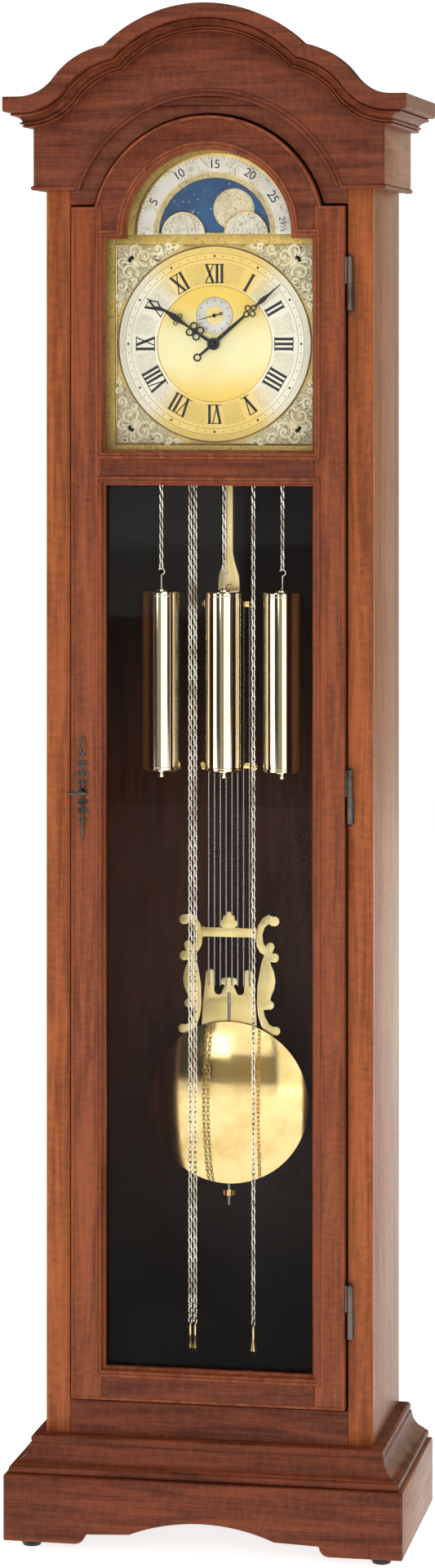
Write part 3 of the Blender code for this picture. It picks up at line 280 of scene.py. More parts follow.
def wood_figure_group():
    """Grain running along the stretched axis: growth figure, dark pores and a faint cross ribbon."""
    group, inside, outside = new_group(
        "wood_figure",
        [("Grain", "NodeSocketVector", None), ("Light", "NodeSocketColor", (0.4, 0.12, 0.06, 1)),
         ("Dark", "NodeSocketColor", (0.1, 0.02, 0.01, 1)), ("Figure", "NodeSocketFloat", 1.0)],
        [("Colour", "NodeSocketColor"), ("Height", "NodeSocketFloat"), ("Gloss", "NodeSocketFloat")])
    sheet = Sheet(group)
    grain = inside.outputs["Grain"]
    figure = sheet.noise(grain, 3.0, 5.0, 0.6, 0.8)
    streak = sheet.noise(sheet.stretch(grain, (6.0, 6.0, 1.0)), 8.0, 3.0, 0.7)
    pores = sheet.ramp(sheet.noise(sheet.stretch(grain, (14.0, 14.0, 2.2)), 12.0, 2.0, 0.8), 0.56, 0.70)
    ribbon = sheet.noise(sheet.stretch(grain, (1.0, 1.0, 30.0)), 3.5, 2.0, 0.6)
    mixed = sheet.plus(sheet.times(figure, 0.62), sheet.times(streak, 0.38))
    mixed = sheet.plus(mixed, sheet.times(sheet.minus(ribbon, 0.5), 0.22))
    share = sheet.times(sheet.ramp(mixed, 0.36, 0.66), inside.outputs["Figure"])
    colour = sheet.blend(share, inside.outputs["Light"], inside.outputs["Dark"])
    shaded = sheet.blend(sheet.times(pores, 0.75), colour, inside.outputs["Dark"])
    group.links.new(shaded, outside.inputs["Colour"])
    group.links.new(sheet.minus(streak, sheet.times(pores, 0.9)), outside.inputs["Height"])
    group.links.new(sheet.ramp(mixed, 0.3, 0.7, 0.30, 0.44, False), outside.inputs["Gloss"])
    return group


def metal_wear_group():
    """Fine handling marks and a soft patina for lacquered metal."""
    group, inside, outside = new_group(
        "metal_wear",
        [("Place", "NodeSocketVector", None), ("Bright", "NodeSocketColor", (0.9, 0.7, 0.3, 1)),
         ("Dull", "NodeSocketColor", (0.6, 0.4, 0.15, 1)), ("Rough Low", "NodeSocketFloat", 0.1),
         ("Rough High", "NodeSocketFloat", 0.3)],
        [("Colour", "NodeSocketColor"), ("Height", "NodeSocketFloat"), ("Gloss", "NodeSocketFloat")])
    sheet = Sheet(group)
    place = inside.outputs["Place"]
    cloud = sheet.noise(place, 22.0, 4.0, 0.6)
    scratch = sheet.noise(sheet.stretch(place, (40.0, 40.0, 900.0)), 1.0, 3.0, 0.7)
    speck = sheet.ramp(sheet.noise(place, 900.0, 2.0), 0.66, 0.80)
    colour = sheet.blend(sheet.ramp(cloud, 0.40, 0.72), inside.outputs["Bright"], inside.outputs["Dull"])
    colour = sheet.blend(sheet.times(speck, 0.35), colour, inside.outputs["Dull"])
    group.links.new(colour, outside.inputs["Colour"])
    group.links.new(scratch, outside.inputs["Height"])
    gloss = sheet.ramp(sheet.plus(sheet.times(cloud, 0.6), sheet.times(scratch, 0.4)),
                       0.35, 0.65, inside.outputs["Rough Low"], inside.outputs["Rough High"], False)
    group.links.new(gloss, outside.inputs["Gloss"])
    return group


def scrollwork_group():
    """Curling engraved lines, as cut into a dial or a cast plate."""
    group, inside, outside = new_group(
        "scrollwork",
        [("Place", "NodeSocketVector", None), ("Size", "NodeSocketFloat", 60.0),
         ("Curl", "NodeSocketFloat", 3.0)],
        [("Line", "NodeSocketFloat"), ("Leaf", "NodeSocketFloat")])
    sheet = Sheet(group)
    place = inside.outputs["Place"]
    swirl = sheet.noise(place, inside.outputs["Size"], 2.0, 0.5, inside.outputs["Curl"])
    bands = sheet.math("PINGPONG", sheet.times(swirl, 9.0), 0.5)
    line = sheet.ramp(bands, 0.10, 0.20, 1.0, 0.0)
    leaf = sheet.ramp(sheet.noise(place, sheet.times(inside.outputs["Size"], 0.7), 1.0, 0.5, 1.5),
                      0.46, 0.54)
    group.links.new(line, outside.inputs["Line"])
    group.links.new(leaf, outside.inputs["Leaf"])
    return group


WOOD_FIGURE = wood_figure_group()
METAL_WEAR = metal_wear_group()
SCROLLWORK = scrollwork_group()
GRAIN_SCALE = (22.0, 22.0, 1.6)
GRAIN_TURN = {"X": (0, math.radians(-90), 0), "Y": (math.radians(90), 0, 0), "Z": (0, 0, 0)}


def new_material(name):
    made = bpy.data.materials.new(name)
    made.use_nodes = True
    sheet = Sheet(made.node_tree)
    shader = made.node_tree.nodes["Principled BSDF"]
    place = made.node_tree.nodes.new("ShaderNodeTexCoord").outputs["Object"]
    return made, sheet, shader, place


def add_bump(sheet, shader, height, strength, distance=0.0004):
    bump = sheet.tree.nodes.new("ShaderNodeBump")
    bump.inputs["Strength"].default_value = strength
    bump.inputs["Distance"].default_value = distance
    sheet.put(height, bump.inputs["Height"])
    sheet.put(bump.outputs["Normal"], shader.inputs["Normal"])


def wood(name, along, light, dark, figure=1.0, shine=0.16, move=(0, 0, 0), ends=None):
    """Stained wood with its grain along one axis; ends are heights outside which the colour is darkened with
    painted shade.
    """
    made, sheet, shader, place = new_material(name)
    turned_place = sheet.stretch(place, (1, 1, 1), GRAIN_TURN[along], move)
    grain = sheet.stretch(turned_place, GRAIN_SCALE)
    out = sheet.group(WOOD_FIGURE, Grain=grain, Light=(*light, 1), Dark=(*dark, 1), Figure=figure)
    colour = out["Colour"]
    if ends:
        # Painted shade: outside the band of heights the lining is darkened towards its foot and head, but the
        # back's outer face keeps its colour.
        _, inward, up = sheet.split(place)
        outer_face = sheet.ramp(inward, BACK_Y - 0.0030, BACK_Y - 0.0012)
        clear_of_painted_shade = sheet.math("MAXIMUM", sheet.band(up, *ends), outer_face)
        colour = sheet.blend(clear_of_painted_shade, tuple([c * 0.22 for c in dark] + [1]), colour)
    sheet.put(colour, shader.inputs["Base Color"])
    sheet.put(out["Gloss"], shader.inputs["Roughness"])
    shader.inputs["Specular IOR Level"].default_value = shine
    add_bump(sheet, shader, out["Height"], 0.22)
    return made


def metal(name, bright, dull, rough=(0.12, 0.28), bump=0.05, metallic=1.0):
    made, sheet, shader, place = new_material(name)
    out = sheet.group(METAL_WEAR, Place=place, Bright=(*bright, 1), Dull=(*dull, 1), Rough_Low=rough[0],
                      Rough_High=rough[1])
    sheet.put(out["Colour"], shader.inputs["Base Color"])
    sheet.put(out["Gloss"], shader.inputs["Roughness"])
    shader.inputs["Metallic"].default_value = metallic
    add_bump(sheet, shader, out["Height"], bump, 0.0002)
    return made


def engraved(name, ground, cut, size, curl, metallic=1.0, rough=0.3, depth=0.5, leafy=0.5):
    """Metal or enamel with curling engraved lines filled dark."""
    made, sheet, shader, place = new_material(name)
    lines = sheet.group(SCROLLWORK, Place=place, Size=size, Curl=curl)
    cover = sheet.times(lines["Line"], sheet.ramp(lines["Leaf"], 0, 1, 1.0 - leafy, 1.0))
    wear = sheet.group(METAL_WEAR, Place=place, Bright=(*ground, 1), Dull=(*[c * 0.8 for c in ground], 1),
                       Rough_Low=rough * 0.8, Rough_High=rough * 1.25)
    sheet.put(sheet.blend(cover, wear["Colour"], (*cut, 1)), shader.inputs["Base Color"])
    sheet.put(wear["Gloss"], shader.inputs["Roughness"])
    shader.inputs["Metallic"].default_value = metallic
    add_bump(sheet, shader, sheet.minus(1.0, cover), depth, 0.0005)
    return made


def brushed_with_painted_sheen(name, bright, dull, centre, rough=0.26):
    """Gilt metal brushed in circles about a centre on the dial, with a painted reflection: bright across the
    middle and duller above and below.
    """
    made, sheet, shader, place = new_material(name)
    x, y, z = sheet.split(sheet.stretch(place, (1, 1, 1), (0, 0, 0), tuple(-c for c in centre)))
    radius = sheet.math("SQRT", sheet.plus(sheet.times(x, x), sheet.times(z, z)))
    rings = sheet.noise(sheet.join(radius, 0.0, 0.0), 1400.0, 3.0, 0.7)
    cloud = sheet.noise(place, 30.0, 3.0)
    # Painted reflection: bright in a band just below the centre, fading to dull towards the top and bottom.
    rise = sheet.math("ABSOLUTE", sheet.math("DIVIDE", sheet.plus(z, 0.006), 0.080))
    mottle = sheet.times(sheet.plus(sheet.minus(rings, 0.5),
                                               sheet.minus(cloud, 0.5)), 0.45)
    share = sheet.ramp(sheet.plus(rise, mottle), 0.10, 0.95)
    sheet.put(sheet.blend(share, (*bright, 1), (*dull, 1)), shader.inputs["Base Color"])
    sheet.put(sheet.ramp(rings, 0.3, 0.7, rough * 0.8, rough * 1.3, False), shader.inputs["Roughness"])
    shader.inputs["Metallic"].default_value = 0.35
    add_bump(sheet, shader, rings, 0.18, 0.0002)
    return made


def plastic(name, colour, rough=0.45):
    made, sheet, shader, place = new_material(name)
    grit = sheet.noise(place, 1500.0, 2.0)
    cloud = sheet.noise(place, 60.0, 3.0)
    sheet.put(sheet.blend(sheet.ramp(cloud, 0.4, 0.7), (*colour, 1), (*[c * 1.8 + 0.004 for c in colour], 1)),
              shader.inputs["Base Color"])
    sheet.put(sheet.ramp(grit, 0.3, 0.7, rough * 0.85, rough * 1.2, False), shader.inputs["Roughness"])
    add_bump(sheet, shader, grit, 0.15, 0.0002)
    return made


def pane_glass(name):
    made, sheet, shader, place = new_material(name)
    smear = sheet.noise(place, 7.0, 3.0)
    shader.inputs["Base Color"].default_value = (0.02, 0.024, 0.023, 1)
    sheet.put(sheet.ramp(smear, 0.4, 0.7, 0.015, 0.05, False), shader.inputs["Roughness"])
    sheet.put(sheet.ramp(smear, 0.35, 0.75, 0.05, 0.08, False), shader.inputs["Alpha"])
    return made


def night_sky(name):
    """Deep blue with small gilt stars, as painted on a moon disc."""
    made, sheet, shader, place = new_material(name)
    cloud = sheet.noise(place, 40.0, 4.0)
    cells = made.node_tree.nodes.new("ShaderNodeTexVoronoi")
    cells.inputs["Scale"].default_value = 190.0
    sheet.put(place, cells.inputs["Vector"])
    star = sheet.ramp(cells.outputs["Distance"], 0.10, 0.22, 1.0, 0.0)
    pick = sheet.ramp(sheet.noise(place, 160.0, 1.0), 0.50, 0.56)
    blue = sheet.blend(sheet.ramp(cloud, 0.3, 0.7), (0.010, 0.055, 0.16, 1), (0.020, 0.11, 0.27, 1))
    sheet.put(sheet.blend(sheet.times(star, pick), blue, (0.75, 0.78, 0.70, 1)),
              shader.inputs["Base Color"])
    sheet.put(sheet.ramp(cloud, 0.3, 0.7, 0.32, 0.45, False), shader.inputs["Roughness"])
    add_bump(sheet, shader, star, 0.1, 0.0002)
    return made


MAHOGANY = ((0.185, 0.045, 0.017), (0.068, 0.015, 0.006))
STILE_TONE = ((0.36, 0.100, 0.028), (0.165, 0.042, 0.012))
# The sides' tone is paler and tanner than the front's wood: painted light standing in for the strong light and
# sheen on the case's sides.
LIT_SIDE_TONE = ((0.30, 0.110, 0.042), (0.16, 0.054, 0.020))
INSIDE_TONE = ((0.085, 0.024, 0.010), (0.030, 0.009, 0.004))

set_stage()
wood_up = wood("cherry_upright", "Z", *STILE_TONE)
wood_across = wood("cherry_across", "X", *MAHOGANY)
# the side tone carries painted light onto the side panels, plinth sides and hood sides
wood_deep = wood("cherry_side", "Z", *LIT_SIDE_TONE, 0.9, 0.22, (3.1, 1.7, 0.4))
wood_back = wood("cherry_return", "Y", *LIT_SIDE_TONE, 0.9, 0.3)
wood_door = wood("cherry_door", "Z", (0.270, 0.068, 0.022), (0.115, 0.026, 0.009), 1.0, 0.2, (0.7, 0.2, 0.9))
# painted shade darkens the back lining towards its foot and head
wood_inside = wood("dark_lining", "Z", *INSIDE_TONE, 1.0, 0.12, ends=(0.30, 0.75, 1.05, 1.40))
wood_inside_flat = wood("dark_lining_flat", "X", *INSIDE_TONE, 1.0, 0.12)
brass = metal("polished_brass", (0.90, 0.70, 0.32), (0.78, 0.54, 0.20), (0.05, 0.14), 0.02)
lyre_brass = metal("stamped_brass", (0.92, 0.76, 0.36), (0.80, 0.62, 0.24), (0.26, 0.40), 0.05, 0.75)
chain_metal = metal("antique_chain", (1.0, 0.95, 0.82), (0.34, 0.27, 0.17), (0.12, 0.24), 0.1, 0.95)
steel = metal("steel_rod", (0.46, 0.47, 0.48), (0.30, 0.31, 0.32), (0.18, 0.34), 0.05)
weight_brass = metal("lacquered_brass", (0.99, 0.90, 0.72), (0.93, 0.80, 0.56), (0.03, 0.08), 0.01)
pewter = metal("dark_pewter", (0.13, 0.115, 0.10), (0.045, 0.040, 0.036), (0.28, 0.5), 0.2)
blackened = metal("blackened_steel", (0.020, 0.018, 0.016), (0.010, 0.010, 0.010), (0.25, 0.4), 0.05, 0.4)
rubber = plastic("moulded_black", (0.010, 0.010, 0.011))
glass = pane_glass("window_glass")


def finish_piece(name, form, material, body, smooth=35, replaces=()):
    """Turns a bmesh into a piece that rides on a body."""
    bmesh.ops.recalc_face_normals(form, faces=form.faces)
    mesh = bpy.data.meshes.new(name)
    form.to_mesh(mesh)
    form.free()
    for face in mesh.polygons:
        face.use_smooth = True
    mesh.set_sharp_from_angle(angle=math.radians(smooth))
    made = bpy.data.objects.new(name, mesh)
    bpy.context.scene.collection.objects.link(made)
    mesh.materials.append(material)
    if body:
        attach(made, body)
    if replaces:
        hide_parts(*replaces)
    return made


def add_rings(form, rings, closed=False):
    """Bridges rings of corners into one skin."""
    loops = []
    for ring in rings:
        corners = [form.verts.new(corner) for corner in ring]
        loops.append([form.edges.new((corners[at - 1], corners[at])) for at in range(len(corners))])
    for before, after in list(zip(loops, loops[1:])) + ([(loops[-1], loops[0])] if closed else []):
        bmesh.ops.bridge_loops(form, edges=before + after)
    if not closed:
        for edges in (loops[0], loops[-1]):
            bmesh.ops.contextual_create(form, geom=edges)


def round_edges(form, edges, offset, segments=2, clamp=False):
    """Rounds edges."""
    bmesh.ops.bevel(form, geom=edges, offset=offset, segments=segments, profile=0.5, affect="EDGES",
                    material=-1, clamp_overlap=clamp)


def add_box(form, low, high, matrix=None):
    low, high = Vector(low), Vector(high)
    made = bmesh.ops.create_cube(form, size=1.0)["verts"]
    bmesh.ops.scale(form, vec=high - low, verts=made)
    bmesh.ops.translate(form, vec=(low + high) / 2, verts=made)
    if matrix:
        bmesh.ops.transform(form, matrix=matrix, verts=made)
    return made


def add_rod(form, start, end, radius, sides=12, end_radius=None):
    start, end = Vector(start), Vector(end)
    run = end - start
    turn = Vector((0, 0, 1)).rotation_difference(run.normalized()).to_matrix().to_4x4()
    return bmesh.ops.create_cone(form, cap_ends=True, segments=sides, radius1=radius,
                                 radius2=radius if end_radius is None else end_radius, depth=run.length,
                                 matrix=Matrix.Translation((start + end) / 2) @ turn)["verts"]


def add_ball(form, centre, radius, squash=(1, 1, 1), detail=(12, 8)):
    matrix = Matrix.Translation(centre) @ Matrix.Diagonal((*squash, 1))
    return bmesh.ops.create_uvsphere(form, u_segments=detail[0], v_segments=detail[1], radius=radius,
                                     matrix=matrix)["verts"]


def add_turned(form, profile, centre, axis="Z", steps=32):
    """A turned shape: profile is (radius, height) and starts and ends on the axis, or closes on itself."""
    closed = profile[0][0] > 1e-6 and profile[-1][0] > 1e-6
    spine = {"Z": Vector((0, 0, 1)), "Y": Vector((0, 1, 0))}[axis]
    corners = [form.verts.new(Vector(centre) + Vector((radius, 0, 0)) + spine * height)
               for radius, height in profile]
    edges = [form.edges.new(pair) for pair in zip(corners, corners[1:])]
    if closed:
        edges.append(form.edges.new((corners[-1], corners[0])))
    bmesh.ops.spin(form, geom=corners + edges, cent=centre, axis=spine, angle=math.tau, steps=steps,
                   use_merge=True)
    bmesh.ops.remove_doubles(form, verts=form.verts, dist=0.00001)


def add_plate(form, loops, front, back, edge=0.0):
    """Flat outlines in X and Z, with any further loops as holes, between two depths; edge rounds the rim."""
    outline = bpy.data.curves.new("outline", "CURVE")
    outline.dimensions = "2D"
    outline.fill_mode = "BOTH"
    outline.extrude = (back - front) / 2 - edge
    outline.bevel_depth = edge
    outline.bevel_resolution = 1
    outline.offset = -edge
    for loop in loops:
        spline = outline.splines.new("POLY")
        spline.points.add(len(loop) - 1)
        spline.use_cyclic_u = True
        for point, (x, z) in zip(spline.points, loop):
            point.co = (x, z, 0, 1)
    add_curve(form, outline, Matrix.Translation((0, (front + back) / 2, 0)) @ UPRIGHT)


def add_curve(form, curve, matrix=None):
    guide = bpy.data.objects.new("guide", curve)
    bpy.context.scene.collection.objects.link(guide)
    bpy.context.view_layer.update()
    mesh = bpy.data.meshes.new_from_object(guide.evaluated_get(bpy.context.evaluated_depsgraph_get()))
    bpy.data.objects.remove(guide, do_unlink=True)
    bpy.data.curves.remove(curve)
    if matrix:
        mesh.transform(matrix)
    form.from_mesh(mesh)
    bpy.data.meshes.remove(mesh)
    bmesh.ops.remove_doubles(form, verts=form.verts, dist=0.000005)


def add_tube(form, points, radius, sides=2, closed=False):
    """A round wire through points (x, y, z) or (x, y, z, share of radius), with closed ends."""
    curve = bpy.data.curves.new("wire", "CURVE")
    curve.dimensions = "3D"
    curve.bevel_depth = radius
    curve.bevel_resolution = sides
    curve.use_fill_caps = not closed
    spline = curve.splines.new("POLY")
    spline.use_cyclic_u = closed
    spline.points.add(len(points) - 1)
    for point, place in zip(spline.points, points):
        point.co = (*place[:3], 1)
        point.radius = place[3] if len(place) > 3 else 1.0
    add_curve(form, curve)


def plate_piece(name, loops, front, back, material, body="case", smooth=35, edge=0.0):
    form = bmesh.new()
    add_plate(form, loops, front, back, edge)
    return finish_piece(name, form, material, body, smooth)


def turned_piece(name, profile, centre, axis, steps, material, body="case", smooth=40, replaces=()):
    form = bmesh.new()
    add_turned(form, profile, centre, axis, steps)
    return finish_piece(name, form, material, body, smooth, replaces)


def boxed_piece(name, low, high, offset, material, replaces=()):
    form = bmesh.new()
    add_box(form, low, high)
    round_edges(form, form.edges, offset)
    return finish_piece(name, form, material, "case", 35, replaces)


def arc(x, z, radius, start, end, steps):
    turn = [math.radians(start + (end - start) * step / steps) for step in range(steps + 1)]
    return [(x + radius * math.cos(a), z + radius * math.sin(a)) for a in turn]


def circle(x, z, radius, steps=32):
    return arc(x, z, radius, 0, 360 - 360 / steps, steps - 1)


def mitred(path, section, closed=False):
    """Rings of a section (outward offset, depth) carried along a path in X and Z, mitred at its corners."""
    rings = []
    count = len(path)
    for at, (x, z) in enumerate(path):
        before = path[at - 1] if (closed or at > 0) else None
        after = path[(at + 1) % count] if (closed or at < count - 1) else None
        ways = [Vector(pair[1]) - Vector(pair[0]) for pair in ((before, (x, z)), ((x, z), after))
                if pair[0] is not None and pair[1] is not None]
        normals = [Vector((way.y, -way.x)).normalized() for way in ways]
        middle = sum(normals, Vector((0, 0))).normalized()
        reach = middle / max(middle.dot(normals[0]), 0.3)
        rings.append([(x + reach.x * out, depth, z + reach.y * out) for out, depth in section])
    return rings


def moulding(name, path, section, material, body, closed=False, replaces=(), smooth=40):
    form = bmesh.new()
    add_rings(form, mitred(path, section, closed), closed)
    return finish_piece(name, form, material, body, smooth, replaces)


def half_round(out, wide, front, rise, steps=6, back=0.004):
    """A bead's section: wide across, rising in front of a face."""
    bead = [(out + wide / 2 - wide / 2 * math.cos(math.pi * at / steps),
             front - rise * math.sin(math.pi * at / steps)) for at in range(steps + 1)]
    return bead + [(out + wide, front + back), (out, front + back)]


def softened(node, material, offset=0.0012, segments=2, corners=()):
    """A carried-over board with eased arrises; corners are (x, y, radius) of upright edges rounded more."""
    source = frame["nodes"][node]
    form = bmesh.new()
    form.from_mesh(source.data)
    bmesh.ops.transform(form, matrix=source.matrix_world, verts=form.verts)
    bmesh.ops.remove_doubles(form, verts=form.verts, dist=0.00001)
    bmesh.ops.dissolve_limit(form, angle_limit=math.radians(1), verts=form.verts, edges=form.edges)
    for x, y, radius in corners:
        edges = [edge for edge in form.edges
                 if all(abs(v.co.x - x) < 0.0004 and abs(v.co.y - y) < 0.0004 for v in edge.verts)]
        round_edges(form, edges, radius, 5)
    sharp = [edge for edge in form.edges
             if len(edge.link_faces) == 2 and edge.calc_face_angle(0) > math.radians(40)]
    round_edges(form, sharp, offset, segments, True)
    return finish_piece(node + "_finished", form, material, BODY_OF[node], 35, (node,))


BODY_OF = {}
for body_name, holder in frame["bodies"].items():
    for node_name, node in frame["nodes"].items():
        if node.parent == holder:
            BODY_OF[node_name] = body_name


# ---- Case ----
for node_name, finish, ease in (
        ("plinth_front", wood_across, 0.0018), ("plinth_left", wood_back, 0.0018),
        ("plinth_right", wood_back, 0.0018), ("side_panel_left", wood_deep, 0.0010),
        ("side_panel_right", wood_deep, 0.0010), ("back_panel", wood_inside, 0.0008),
        ("floor_panel", wood_inside_flat, 0.0008), ("roof_panel", wood_across, 0.0008),
        ("seat_board", wood_inside_flat, 0.0008), ("frame_stile_left", wood_up, 0.0014),
        ("frame_stile_right", wood_up, 0.0014), ("frame_bottom_rail", wood_across, 0.0008),
        ("frame_top_rail", wood_across, 0.0008), ("door_stile_left", wood_door, 0.0012),
        ("door_stile_right", wood_door, 0.0012), ("door_top_rail", wood_across, 0.0010),
        ("door_middle_rail", wood_across, 0.0008), ("door_bottom_rail", wood_across, 0.0008)):
    softened(node_name, finish, ease)


def crown_line(share, half, steps=(22, 16, 12)):
    """The crown's line from its middle out to half, with the same number of points for every share."""
    def between(pair):
        return pair[0] + (pair[1] - pair[0]) * share

    arch_z, arch_r = ARCH_Z + between((0.1170, 0.1232)), between((0.1957, 0.1518))
    side_x, side_z = HOOD_HALF - between((0.1245, 0.1445)), ARCH_Z + between((0.1476, 0.1276))
    side_r, cove_r = between((0.110, 0.095)), between((0.062, 0.090))
    cove_z = ARCH_Z + between((0.1876, 0.1456)) + cove_r
    cove_x = side_x + math.sqrt((side_r + cove_r) ** 2 - (cove_z - side_z) ** 2)
    apart = math.hypot(side_x, side_z - arch_z)
    along = (apart ** 2 + arch_r ** 2 - side_r ** 2) / (2 * apart)
    off = math.sqrt(arch_r ** 2 - along ** 2)
    drop = side_z - arch_z
    meet = Vector((along * side_x - off * drop, along * drop + off * side_x)) / apart
    meet += Vector((0, arch_z))
    arch_end = math.degrees(math.atan2(meet.y - arch_z, meet.x))
    side_start = math.degrees(math.atan2(meet.y - side_z, meet.x - side_x))
    side_end = math.degrees(math.atan2(cove_z - side_z, cove_x - side_x))
    last = 270 if half >= cove_x else 180 + math.degrees(math.acos((cove_x - half) / cove_r))
    line = arc(0, arch_z, arch_r, 90, arch_end, steps[0])
    line += arc(side_x, side_z, side_r, side_start, side_end, steps[1])[1:]
    line += arc(cove_x, cove_z, cove_r, side_end + 180, last, steps[2])[1:]
    return line + [(max(half, line[-1][0] + 0.0002), line[-1][1])]


CROWN_SECTION = [  # share down from the top edge, how far it stands out
    (0.0, 0.001), (0.0, 0.0343), (0.015, 0.0350), (0.43, 0.0350), (0.475, 0.0345), (0.505, 0.0330),
    (0.520, 0.0305), (0.520, 0.0250), (0.535, 0.0240), (0.555, 0.0252), (0.585, 0.0262), (0.615, 0.0254),
    (0.632, 0.0232), (0.650, 0.0200), (0.690, 0.0162), (0.740, 0.0133), (0.800, 0.0116), (0.812, 0.0118),
    (0.818, 0.0136), (0.845, 0.0150), (0.875, 0.0146), (0.895, 0.0128), (0.900, 0.0104), (0.915, 0.0098),
    (0.925, 0.0116), (0.950, 0.0124), (0.980, 0.0114), (1.0, 0.0088), (1.0, 0.001)]


def make_crown():
    lines = [(crown_line(share, HOOD_HALF + out), out) for share, out in CROWN_SECTION]
    count = len(lines[0][0])
    right = []
    for at in range(count):
        ring = []
        for line, out in lines:
            depth = HOOD_FRONT - out if out > 0.0015 else HOOD_FRONT + 0.004
            ring.append((line[at][0], depth, line[at][1]))
        right.append(ring)
    tail = [(HOOD_HALF + (out if out > 0.0015 else -0.004), BACK_Y, line[-1][1]) for line, out in lines]
    right.append(tail)
    left = [[(-x, y, z) for x, y, z in ring] for ring in right[1:]]
    form = bmesh.new()
    add_rings(form, list(reversed(left)) + right)
    finish_piece("crown_moulding", form, wood_across, "case", 38, ("crown_front",))


make_crown()
softened("hood_front", wood_across, 0.0010, 2, [(side * HOOD_HALF, HOOD_FRONT, 0.005) for side in (-1, 1)])
for side, side_name in ((-1, "left"), (1, "right")):
    edges = sorted((side * (TRUNK_HALF + GAP), side * HOOD_HALF))
    boxed_piece("hood_board_" + side_name, (edges[0], TRUNK_FRONT + GAP, HOOD_BOTTOM),
                (edges[1], BACK_Y, ARCH_Z + 0.150), 0.0012, wood_back, ("hood_side_" + side_name,))

# a batten on the roof board closes the slit under the hood's arch
roof_low, roof_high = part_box("roof_panel")
boxed_piece("roof_batten", (-0.110, roof_low.y, roof_high.z + GAP),
            (0.110, roof_low.y + 0.012, roof_high.z + 0.012), 0.0008, wood_across)

# beads round the hood's arch and a small cove under the hood's lower edge
spring = math.degrees(math.asin((HOOD_BOTTOM - ARCH_Z) / HOOD_ARCH_R))
hood_arch = arc(0, ARCH_Z, HOOD_ARCH_R, 180 - spring, spring, 48)
for number, (out, wide, rise) in enumerate(((-0.0002, 0.0046, 0.0022), (0.0062, 0.0042, 0.0020))):
    section = [(-place, depth) for place, depth in half_round(out, wide, HOOD_FRONT, rise)]
    moulding(f"hood_arch_bead_{number}", hood_arch, section, wood_across, "case")


def around_three_sides(name, section, start_x, front, back, half, material, replaces=()):
    """A moulding run along both sides and across the front, mitred; start_x leaves the middle open."""
    def ring(side, place):
        made = []
        for out, z in section:
            if place == "back":
                made.append((side * (half + out), back, z))
            elif place == "corner":
                made.append((side * (half + out), front - out, z))
            else:
                made.append((side * start_x, front - out, z))
        return made

    if start_x is None:
        form = bmesh.new()
        add_rings(form, [ring(-1, "back"), ring(-1, "corner"), ring(1, "corner"), ring(1, "back")])
        return finish_piece(name, form, material, "case", 38, replaces)
    for side, title in ((-1, "left"), (1, "right")):
        form = bmesh.new()
        add_rings(form, [ring(side, "back"), ring(side, "corner"), ring(side, "inner")])
        finish_piece(f"{name}_{title}", form, material, "case", 38)


lip = HOOD_BOTTOM
around_three_sides("hood_foot", [(-0.006, lip - 0.001), (0.0012, lip - 0.001), (0.0024, lip + 0.0010),
                                 (0.0024, lip + 0.0032), (0.0010, lip + 0.0046), (-0.0010, lip + 0.0052),
                                 (-0.006, lip + 0.0052)],
                   HOOD_ARCH_R * math.cos(math.radians(spring)) + 0.006, HOOD_FRONT, BACK_Y, HOOD_HALF,
                   wood_across)

# ---- Base moulding ----
base_low, base_high = [corner.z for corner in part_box("base_moulding")]
BASE_SECTION = [(out, base_low + rise) for out, rise in (
    (-0.004, 0), (0.0402, 0), (0.0418, 0.0012), (0.0427, 0.0048), (0.0418, 0.0085), (0.0398, 0.0100),
    (0.0372, 0.0104), (0.0362, 0.0122), (0.0330, 0.0136), (0.0285, 0.0160), (0.0240, 0.0202),
    (0.0205, 0.0258), (0.0187, 0.0320), (0.0182, 0.0362), (0.0162, 0.0374), (0.0160, 0.0392),
    (0.0168, 0.0410), (0.0164, 0.0448))]
BASE_SECTION += [(0.0148, base_high - 0.0008), (0.0120, base_high), (-0.004, base_high)]
around_three_sides("base_moulding_run", BASE_SECTION, None, TRUNK_FRONT - 0.004, BACK_Y, TRUNK_HALF,
                   wood_across, ("base_moulding",))


# ---- Door mouldings ----
def door_outline(radius, half, low, shoulder):
    """The arched outline of the door, clockwise as seen from the front, from its lower left corner."""
    start = math.degrees(math.asin((shoulder - ARCH_Z) / radius))
    head = arc(0, ARCH_Z, radius, 180 - start, start, 48)
    return [(-half, low), (-half, shoulder)] + head + [(half, shoulder), (half, low)]


edge_path = door_outline(DOOR_ARCH_R, DOOR_HALF, DOOR_BOTTOM, SHOULDER_Z)
moulding("door_edge_bead", edge_path, half_round(0.0004, 0.0042, DOOR_FRONT, 0.0016), wood_door, "door", True)
WINDOW_SECTION = [
    (0.0085, 0.0010), (0.0085, -0.0008), (0.0077, -0.0020), (0.0064, -0.0025), (0.0051, -0.0020),
    (0.0043, -0.0008), (0.0039, 0.0003), (0.0031, -0.0004), (0.0019, -0.0008), (0.0006, -0.0002),
    (-0.0002, 0.0014), (-0.0006, 0.0040), (-0.0010, 0.0068), (-0.0016, 0.0090), (-0.0024, 0.0102),
    (-0.0032, 0.0104), (-0.0038, 0.0116), (-0.0038, 0.0150), (-0.0034, 0.0218), (0.0002, 0.0218),
    (0.0010, 0.0060), (0.0040, 0.0030)]
window_start = math.degrees(math.asin((WINDOW_TOP - ARCH_Z) / WINDOW_ARCH_R))
window_head = arc(0, ARCH_Z, WINDOW_ARCH_R, 180 - window_start, window_start, 40)
upper_window = [(-SIGHT_HALF, RAIL_HIGH), (-SIGHT_HALF, WINDOW_TOP)] + window_head
upper_window += [(SIGHT_HALF, WINDOW_TOP), (SIGHT_HALF, RAIL_HIGH)]
